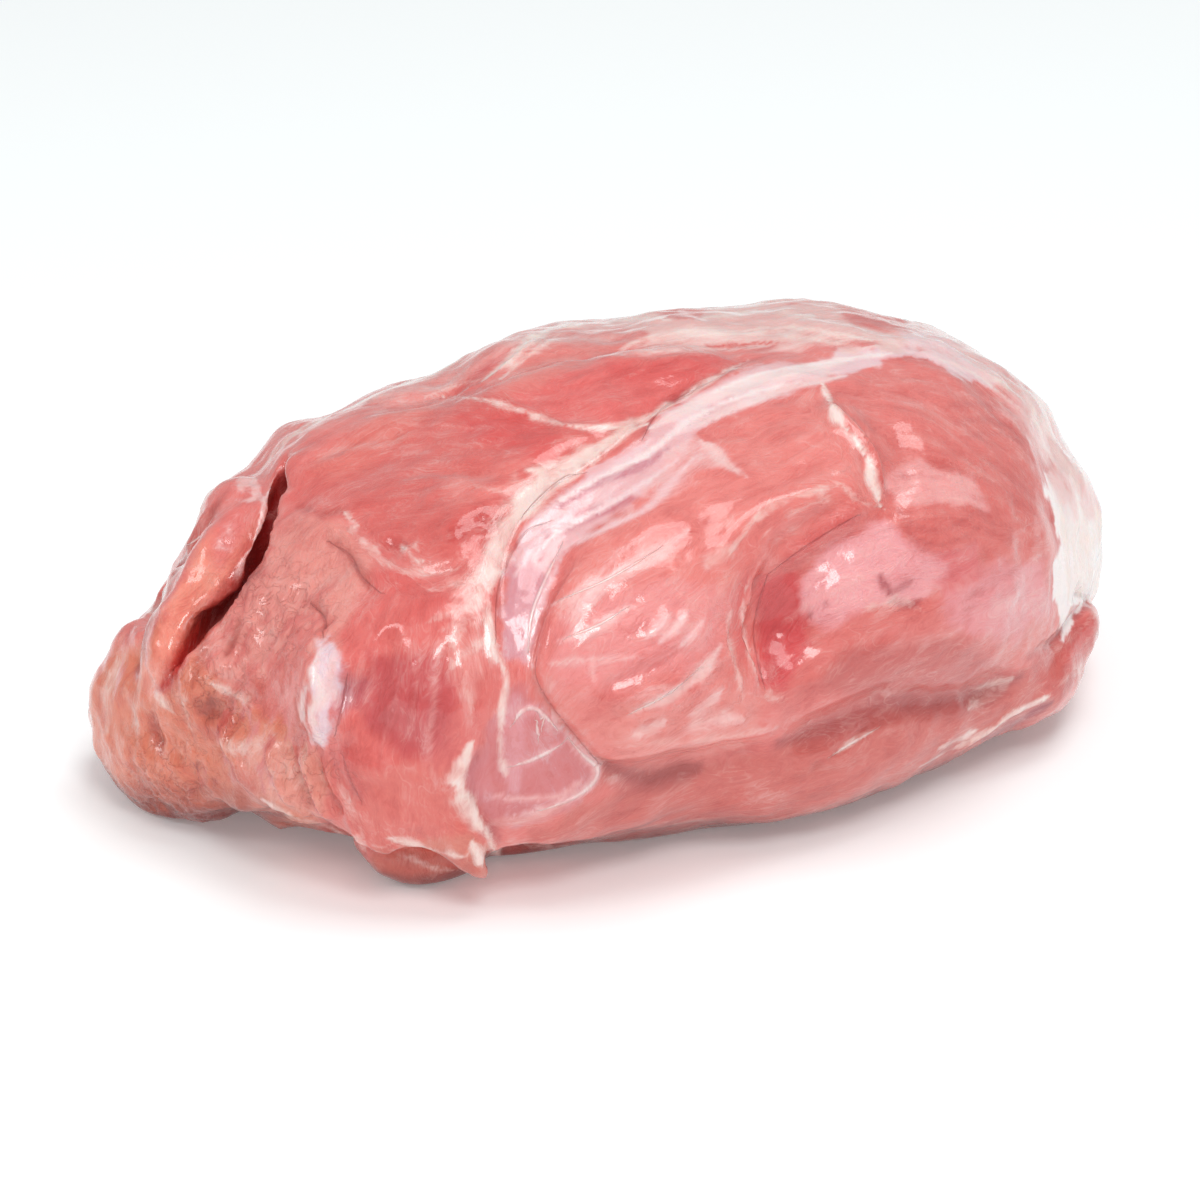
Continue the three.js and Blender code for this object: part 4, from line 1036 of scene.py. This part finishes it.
# How wet the surface is: outline, softness in mm, amount from 0 to 1.
WET_PATCHES = {"photograph": {
    "middle muscle": ([(600, 600), (740, 580), (770, 700), (740, 745), (600, 745)], 8, 0.8),
    "glossy patches": ([(790, 540), (880, 450), (1000, 450), (980, 530), (900, 620), (820, 630)], 5, 1.0),
    "band": ([(500, 680), (505, 560), (570, 480), (700, 400), (840, 370), (700, 440), (560, 560),
        (530, 680)], 4, 0.7),
    "fore muscle": ([(340, 420), (560, 420), (520, 500), (360, 520)], 8, 0.4),
    "sinew": ([(300, 640), (345, 640), (345, 750), (300, 750)], 5, 0.7),
}, "behind": {
    "far film": ([(-70, 30), (50, 30), (58, 66), (-60, 60)], 9, 0.7),
    "far round end": ([(90, 20), (140, 20), (140, 90), (96, 100)], 9, 0.6),
}}
LONG_WANDER = (7 * MM, 1.7)  # how edges stray from their lines: size, and reach in mm
SHORT_WANDER = (2.4 * MM, 0.8)
STREAK_WANDER = 0.35
STREAK_REACH = 3  # half widths, and mm on top, past which nothing of a streak is left
LEAN_WANDER = 0.3  # how much of the wander the streaks of lean and of silverskin take up
FAT_WANDER = 0.35
FAT_SIZE = 5 * MM  # fat is wider and thicker in some places than in others, that far apart
FAT_WIDENS = 0.45
FAT_THINS = 0.25
BARE_WANDER = 0.7
BARE = 0.85  # how much of the fat and membrane is gone from a bare patch
FOLD_SHADE = "#aa2723"  # painted shade: deep red where a fold closes round the surface
FOLD_SHADE_AMOUNT = 0.7
FOLD_SHADE_FROM = (0.5, 0.95)  # how enclosed a place is where that starts and where it is all there
UNDERSIDE_SHADE = "#8c352e"  # painted shade where the meat rounds down to the table
UNDERSIDE_SHADE_AMOUNT = 0.85
UNDERSIDE_SHADE_HEIGHTS = (16, 3)  # mm above the table, from its first trace down to all of it
TURNED_DOWN = (0.0, 0.6)  # the same by how far the surface faces the table
DEEPER = np.array([1.0, 0.86, 0.85])  # the white shine on it pales the lean, so it starts deeper
CLOSED_OFF = (0.35, 0.7)  # how enclosed it is where fat and membrane start to end, and are gone
ENCLOSED_REACH = 14 * MM
SKY_RAYS = 10
SKY_LEAN = 1.05  # how much the rays lean away from the surface
CLEAR_OF_IT = 0.4 * MM  # how far off the surface they start
FOLDED_END = -70 * MM  # only the cut end and the foot have folds so deep
FOLDED_FOOT = 22 * MM

wander = (LONG_WANDER[1] * waves(places, LONG_WANDER[0], 31)
          + SHORT_WANDER[1] * waves(places, SHORT_WANDER[0], 32) + STREAK_WANDER * streaks)

# How enclosed each place is: how much of what is in front of it is near meat.
rays = np.random.default_rng(9).normal(size=(SKY_RAYS, 3))
rays /= np.linalg.norm(rays, axis=1)[:, None]
enclosed = np.zeros(count)
for i in np.flatnonzero((places[:, 0] < FOLDED_END) | (places[:, 2] < FOLDED_FOOT)):
    start = Vector(places[i] + normals[i] * CLEAR_OF_IT)
    for ray in rays + normals[i] * SKY_LEAN:
        if surface.ray_cast(start, Vector(ray), ENCLOSED_REACH)[0] is not None:
            enclosed[i] += 1 / SKY_RAYS
in_the_open = 1 - fade(enclosed, *CLOSED_OFF)


def laid_over(under, colour, amount):
    """Colours with some of another colour on them."""
    return under * (1 - amount[:, None]) + linear(colour) * amount[:, None]


def off_line(view, line, width, stray, thinnest, share):
    """How far each place is from a streak, counted in its half widths."""
    near, _, along = beside(view, line, STREAK_REACH * (width + 1))
    return np.maximum(0, near + stray * wander) / (width * tapered(along, thinnest, share))


lean = np.tile(linear(LEAN), (count, 1))
for view, outline, softness, colour in in_turn(LEAN_PATCHES):
    amount = fade(inside_of(view, outline) + wander, -softness / 2, softness / 2)
    lean = laid_over(lean, colour, amount)
for view, line, width, strength, colour in in_turn(LEAN_STREAKS):
    off = off_line(view, line, width, LEAN_WANDER, 0.4, 0.15)
    lean = laid_over(lean, colour, strength * np.exp(-0.8 * off**2))
# Painted shade: dark red where the surface faces down close to the table.
low = fade(-normals[:, 2], *TURNED_DOWN) * fade(places[:, 2] / MM, *UNDERSIDE_SHADE_HEIGHTS)
lean = laid_over(lean, UNDERSIDE_SHADE, UNDERSIDE_SHADE_AMOUNT * low)
# Painted shade: deep red where the surface is enclosed by folds.
lean = laid_over(lean, FOLD_SHADE, FOLD_SHADE_AMOUNT * fade(enclosed, *FOLD_SHADE_FROM))
lean *= DEEPER

uneven = np.clip(1.6 * waves(places, FAT_SIZE, 33), -1, 1)
fat = np.zeros(count)
for view, line, width, amount in in_turn(FAT_STREAKS):
    off = off_line(view, line, width, FAT_WANDER, 0.35, 0.25) / (1 + FAT_WIDENS * uneven)
    fat = np.maximum(fat, amount * (1 - FAT_THINS * uneven**2) * np.exp(-0.55 * off**2))
fat *= in_the_open

film = np.zeros(count)
film_colour = np.tile(linear(PINK_FILM), (count, 1))
for view, outline, softness, amount, colour in in_turn(FILM_PATCHES):
    inside = fade(inside_of(view, outline) + wander, -softness / 2, softness)
    film = film * (1 - inside) + np.maximum(film, amount) * inside
    film_colour = laid_over(film_colour, colour, fade(inside, 0.1, 0.6))
for view, line, width, amount, colour in in_turn(FILM_AND_HIGHLIGHT_STREAKS):
    inside = np.exp(-0.7 * off_line(view, line, width, LEAN_WANDER, 0.4, 0.25) ** 2)
    film = film * (1 - inside) + np.maximum(film, amount) * inside
    film_colour = laid_over(film_colour, colour, fade(inside, 0.05, 0.7))
film *= in_the_open
for view, outline, softness in in_turn(BARE_PATCHES):
    edge = inside_of(view, outline) + BARE_WANDER * wander
    left = 1 - BARE * fade(edge, -softness / 2, softness / 2)
    fat *= left
    film *= left

wet = np.zeros(count)
for view, outline, softness, amount in in_turn(WET_PATCHES):
    wet = np.maximum(wet, amount * fade(inside_of(view, outline), -softness / 2, softness))

THREAD_REACH = 5  # mm
THREAD_FAR = 9.0  # mm or half widths: no thread near


def nearest_thread(threads):
    """For each place: the signed distance from the nearest thread, counted in its half widths, and
    the plain distance in mm, so that thin and thick threads can share a shader."""
    signed = np.full(count, THREAD_FAR)
    plain = np.full(count, THREAD_FAR)
    for view, line, width in in_turn(threads):
        near, side, along = beside(view, line, THREAD_REACH)
        closer = near < plain
        widths = np.clip(side / (width * tapered(along, 0.25, 0.3)), -THREAD_FAR, THREAD_FAR)
        signed[closer] = widths[closer]
        plain[closer] = near[closer]
    return np.stack([signed, plain, np.zeros(count)], axis=1)


stored = {
    "lean": lean,
    "fat": fat,
    "film": film,
    "film_colour": film_colour,
    "wet": wet,
    "wrinkled": wrinkled,
    "streaks": streaks,
    "strands": np.stack([strands, other_strands, 0.4 * streaks], axis=1),
    "threads": nearest_thread(THREADS),
    "crease_shade_lines": nearest_thread(CREASE_SHADE_LINES),
}
for name, values in stored.items():
    kind, field = ("FLOAT", "value") if values.ndim == 1 else ("FLOAT_VECTOR", "vector")
    attribute = meat.data.attributes.new(name, kind, "POINT")
    attribute.data.foreach_set(field, values.astype(np.float32).ravel())

# ---- The leg: raw pork -----------------------------------------------------------------------
# Wet raw muscle: light goes a few millimetres into it and comes out redder, fibres show as pale
# and dark streaks, and a film of water gives small sharp lights over a duller surface.

raw = bpy.data.materials.new("raw_pork")
raw.use_nodes = True
nodes = raw.node_tree.nodes
shader = nodes["Principled BSDF"]


def add(kind, values=None, links=None, **settings):
    """Adds a node with its settings, the values of its sockets and the outputs that feed them."""
    made = nodes.new("ShaderNode" + kind)
    for name, value in settings.items():
        setattr(made, name, value)
    for socket, value in (values or {}).items():
        made.inputs[socket].default_value = value
    for socket, source in (links or {}).items():
        raw.node_tree.links.new(source, made.inputs[socket])
    return made.outputs


def rgba(colour):
    return (*linear(colour), 1)


spot = add("TexCoord")["Object"]
at = {name: add("Attribute", attribute_name=name) for name in stored}
lean_at = at["lean"]["Color"]
fat_at = at["fat"]["Fac"]
film_at = at["film"]["Fac"]
film_colour_at = at["film_colour"]["Color"]
wet_at = at["wet"]["Fac"]
wrinkled_at = at["wrinkled"]["Fac"]
strands_at = at["strands"]["Vector"]

# Fine fibres, about a millimetre apart. The strands hardly change along a fibre, so a pattern
# that is read by them runs along it too. The other scales are counted in patterns per metre.
fine = add("TexNoise", {"Scale": 2.6, "Detail": 3.0, "Roughness": 0.62}, {"Vector": strands_at})["Fac"]
mottle = add("TexNoise", {"Scale": 75.0, "Detail": 2.0, "Roughness": 0.6}, {"Vector": spot})["Fac"]
specks = add("TexNoise", {"Scale": 420.0, "Detail": 2.0, "Roughness": 0.6}, {"Vector": spot})["Fac"]
crinkle = add("TexNoise", {"Scale": 210.0, "Detail": 3.0, "Roughness": 0.6, "Distortion": 0.6},
              {"Vector": spot})["Fac"]

# The tone of the fibres: from about -1, dark, to 1, pale.
streak_tone = add("Math", {1: 0.21}, {0: at["streaks"]["Fac"]}, operation="MULTIPLY")[0]
fine_tone = add("MapRange", {1: 0.3, 2: 0.7, 3: -0.42, 4: 0.42}, {0: fine})[0]
mottle_tone = add("MapRange", {1: 0.3, 2: 0.7, 3: -0.5, 4: 0.5}, {0: mottle})[0]
tone = add("Math", None, {0: streak_tone, 1: fine_tone}, operation="ADD")[0]
tone = add("Math", None, {0: tone, 1: mottle_tone}, operation="ADD")[0]

pale_amount = add("MapRange", {1: 0.1, 2: 1.5, 3: 0.0, 4: 0.42}, {0: tone})[0]
dark_amount = add("MapRange", {1: 0.0, 2: -1.5, 3: 0.0, 4: 0.75}, {0: tone})[0]
flesh = add("MixRGB", {"Color2": rgba("#f6c3bb")}, {"Fac": pale_amount, "Color1": lean_at})["Color"]
darker = add("MixRGB", {"Fac": 1.0, "Color2": rgba("#d98080")}, {"Color1": flesh},
             blend_type="MULTIPLY")["Color"]
flesh = add("MixRGB", None, {"Fac": dark_amount, "Color1": flesh, "Color2": darker})["Color"]

# Thin pale skins between bundles of fibres, here and there, and painted shade in dark lines along the
# wrinkles.
along_them = add("VectorMath", {1: (1, 1, 0)}, {0: strands_at}, operation="MULTIPLY")["Vector"]
bundles = add("TexNoise", {"Scale": 1.1, "Detail": 0.0}, {"Vector": along_them})["Fac"]
from_edge = add("Math", {1: 0.5}, {0: bundles}, operation="SUBTRACT")[0]
from_edge = add("Math", None, {0: from_edge}, operation="ABSOLUTE")[0]
bundle_edge = add("MapRange", {1: 0.0, 2: 0.035, 3: 0.14, 4: 0.0}, {0: from_edge},
                  interpolation_type="SMOOTHSTEP")[0]
here_and_there = add("MapRange", {1: 0.46, 2: 0.6, 3: 0.0, 4: 1.0}, {0: mottle})[0]
bundle_shown = add("Math", None, {0: bundle_edge, 1: here_and_there}, operation="MULTIPLY")[0]
flesh = add("MixRGB", {"Color2": rgba("#f9cfc8")}, {"Fac": bundle_shown, "Color1": flesh})["Color"]
from_wrinkle = add("Math", {1: 0.5}, {0: crinkle}, operation="SUBTRACT")[0]
from_wrinkle = add("Math", None, {0: from_wrinkle}, operation="ABSOLUTE")[0]
wrinkle_line = add("MapRange", {1: 0.0, 2: 0.045, 3: 1.0, 4: 0.0}, {0: from_wrinkle},
                   interpolation_type="SMOOTHSTEP")[0]
wrinkle_line = add("Math", None, {0: wrinkle_line, 1: wrinkled_at}, operation="MULTIPLY")[0]
wrinkle_shade_shown = add("Math", {1: 0.22}, {0: wrinkle_line}, operation="MULTIPLY")[0]
# Painted shade along the grooves of the wrinkles.
wrinkle_shade = add("MixRGB", {"Fac": 1.0, "Color2": rgba("#c86a62")}, {"Color1": flesh},
                   blend_type="MULTIPLY")["Color"]
flesh = add("MixRGB", None, {"Fac": wrinkle_shade_shown, "Color1": flesh, "Color2": wrinkle_shade})["Color"]

# Silverskin and the painted highlights laid with it let the lean through, more in some places than in
# others.
film_veins = add("Math", {1: 0.18}, {0: tone, 2: film_at}, operation="MULTIPLY_ADD")[0]
film_cover = add("MapRange", {1: 0.05, 2: 0.95, 3: 0.0, 4: 0.92}, {0: film_veins},
                 interpolation_type="SMOOTHSTEP")[0]
film_tint = add("MixRGB", {"Color2": rgba("#fdf1f0")},
                {"Fac": pale_amount, "Color1": film_colour_at})["Color"]
filmed = add("MixRGB", None, {"Fac": film_cover, "Color1": flesh, "Color2": film_tint})["Color"]

# Fat ends in ragged strands.
fat_strands = add("Math", {1: 0.2}, {0: tone, 2: fat_at}, operation="MULTIPLY_ADD")[0]
fat_cover = add("MapRange", {1: 0.2, 2: 0.98, 3: 0.0, 4: 0.92}, {0: fat_strands},
                interpolation_type="SMOOTHSTEP")[0]
fat_tint = add("MixRGB", {"Color1": rgba("#f8d5cb"), "Color2": rgba("#fdeee8")}, {"Fac": mottle})["Color"]
fatted = add("MixRGB", None, {"Fac": fat_cover, "Color1": filmed, "Color2": fat_tint})["Color"]


def crisp(name, softness, reach):
    """How much of a thread shows: all of it inside its half width, and none past reach mm."""
    signed, plain, _ = add("SeparateXYZ", None, {0: at[name]["Vector"]})
    within = add("Math", None, {0: signed}, operation="ABSOLUTE")[0]
    shows = add("MapRange", {1: 1.0 + softness, 2: 1.0 - softness, 3: 0.0, 4: 1.0}, {0: within},
                interpolation_type="SMOOTHSTEP")[0]
    close = add("MapRange", {1: reach, 2: reach * 0.6, 3: 0.0, 4: 1.0}, {0: plain})[0]
    return add("Math", None, {0: shows, 1: close}, operation="MULTIPLY")[0]


thread = crisp("threads", softness=0.75, reach=1.4)
thread_shown = add("MapRange", {1: -0.9, 2: 0.6, 3: 0.15, 4: 0.7}, {0: tone})[0]
thread_shown = add("Math", None, {0: thread, 1: thread_shown}, operation="MULTIPLY")[0]
threaded = add("MixRGB", {"Color2": rgba("#fdebe6")}, {"Fac": thread_shown, "Color1": fatted})["Color"]
# Painted shade: dark lines along the creases and seams.
crease_shade_line = crisp("crease_shade_lines", softness=0.8, reach=1.5)
crease_shade_shown = add("Math", {1: 0.32}, {0: crease_shade_line}, operation="MULTIPLY")[0]
surface_colour = add("MixRGB", {"Color2": rgba("#a03c40")},
                     {"Fac": crease_shade_shown, "Color1": threaded})["Color"]
raw.node_tree.links.new(surface_colour, shader.inputs["Base Color"])

# Relief that is finer than the mesh. The fibres' own is lowest under silverskin and fat.
covered = add("Math", None, {0: film_cover, 1: fat_cover}, operation="MAXIMUM")[0]
fibre_height = add("MapRange", {1: 0.1, 2: 0.8, 3: 0.2, 4: 0.06}, {0: covered})[0]
fibre_relief = add("Math", None, {0: fine_tone, 1: fibre_height}, operation="MULTIPLY")[0]
crinkle_height = add("MapRange", {1: 0.0, 2: 1.0, 3: 0.45, 4: 1.15}, {0: wrinkled_at})[0]
crinkle_relief = add("Math", None, {0: crinkle, 1: crinkle_height}, operation="MULTIPLY")[0]
relief = add("Math", {1: 0.1}, {0: specks, 2: fibre_relief}, operation="MULTIPLY_ADD")[0]
relief = add("Math", None, {0: relief, 1: crinkle_relief}, operation="ADD")[0]
heights_of_lines = [
    (wrinkle_line, -0.25), (bundle_shown, 0.12), (thread, 0.25), (crease_shade_line, -0.35), (fat_cover, 0.25)]
for line, height in heights_of_lines:
    relief = add("Math", {1: height}, {0: line, 2: relief}, operation="MULTIPLY_ADD")[0]
bump = add("Bump", {"Strength": 1.0, "Distance": 0.8 * MM}, {"Height": relief})["Normal"]
raw.node_tree.links.new(bump, shader.inputs["Normal"])
water_relief = add("Math", {1: 0.4}, {0: crinkle_relief, 2: thread}, operation="MULTIPLY_ADD")[0]
water = add("Bump", {"Strength": 1.0, "Distance": 0.6 * MM}, {"Height": water_relief})["Normal"]
raw.node_tree.links.new(water, shader.inputs["Coat Normal"])

gloss = add("MapRange", {1: 0.0, 2: 1.0, 3: 0.42, 4: 0.22}, {0: wet_at})[0]
rough = add("Math", {1: 0.3}, {0: specks, 2: gloss}, operation="MULTIPLY_ADD")[0]
rough = add("Math", {1: -0.12}, {0: rough}, operation="ADD")[0]
raw.node_tree.links.new(rough, shader.inputs["Roughness"])
shader.inputs["IOR"].default_value = 1.4
shader.inputs["Specular IOR Level"].default_value = 0.5
shader.inputs["Coat Weight"].default_value = 1.0
shader.inputs["Coat Roughness"].default_value = 0.13
shader.inputs["Coat IOR"].default_value = 1.5
shader.inputs["Subsurface Weight"].default_value = 0.3
shader.inputs["Subsurface Radius"].default_value = (1.0, 0.35, 0.25)
shader.inputs["Subsurface Scale"].default_value = 3.0 * MM

meat.data.materials.append(raw)
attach(meat, "root")
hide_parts("pork_leg")

# ---- The table and the light -----------------------------------------------------------------
# A white studio table that runs on to a white background, under a broad soft light from above,
# a small one in front that lights up the wet ridges, and a weak one on the left.

bpy.context.scene.view_settings.view_transform = "Standard"
bpy.ops.object.select_all(action="DESELECT")
bpy.ops.mesh.primitive_plane_add(size=8)
floor = bpy.context.object
floor.name = "floor"
paper = bpy.data.materials.new("white_paper")
paper.use_nodes = True
white = paper.node_tree.nodes["Principled BSDF"].inputs
white["Base Color"].default_value = (0.92, 0.965, 0.97, 1)
white["Emission Color"].default_value = (1, 1, 1, 1)
white["Emission Strength"].default_value = 0.15
white["Roughness"].default_value = 0.8
floor.data.materials.append(paper)

world = bpy.data.worlds.new("white room")
bpy.context.scene.world = world
world.use_nodes = True
world.node_tree.nodes["Background"].inputs["Color"].default_value = (1, 1, 1, 1)
world.node_tree.nodes["Background"].inputs["Strength"].default_value = 0.5


def softbox(name, azimuth, elevation, distance, size, watts):
    """A square soft light, by its direction from the meat in degrees; azimuth 0 is the front."""
    lamp = bpy.data.lights.new(name, "AREA")
    lamp.size = size
    lamp.energy = watts
    held = bpy.data.objects.new(name, lamp)
    turn, rise = math.radians(azimuth), math.radians(elevation)
    towards = Vector((math.sin(turn) * math.cos(rise), -math.cos(turn) * math.cos(rise),
                      math.sin(rise)))
    held.location = AIM + towards * distance
    held.rotation_euler = towards.to_track_quat("Z", "Y").to_euler()
    bpy.context.scene.collection.objects.link(held)


softbox("overhead", azimuth=60, elevation=76, distance=2.4, size=1.25, watts=19)
softbox("front window", azimuth=-14, elevation=52, distance=1.5, size=0.42, watts=5.5)
softbox("left window", azimuth=-90, elevation=38, distance=1.6, size=0.4, watts=3)
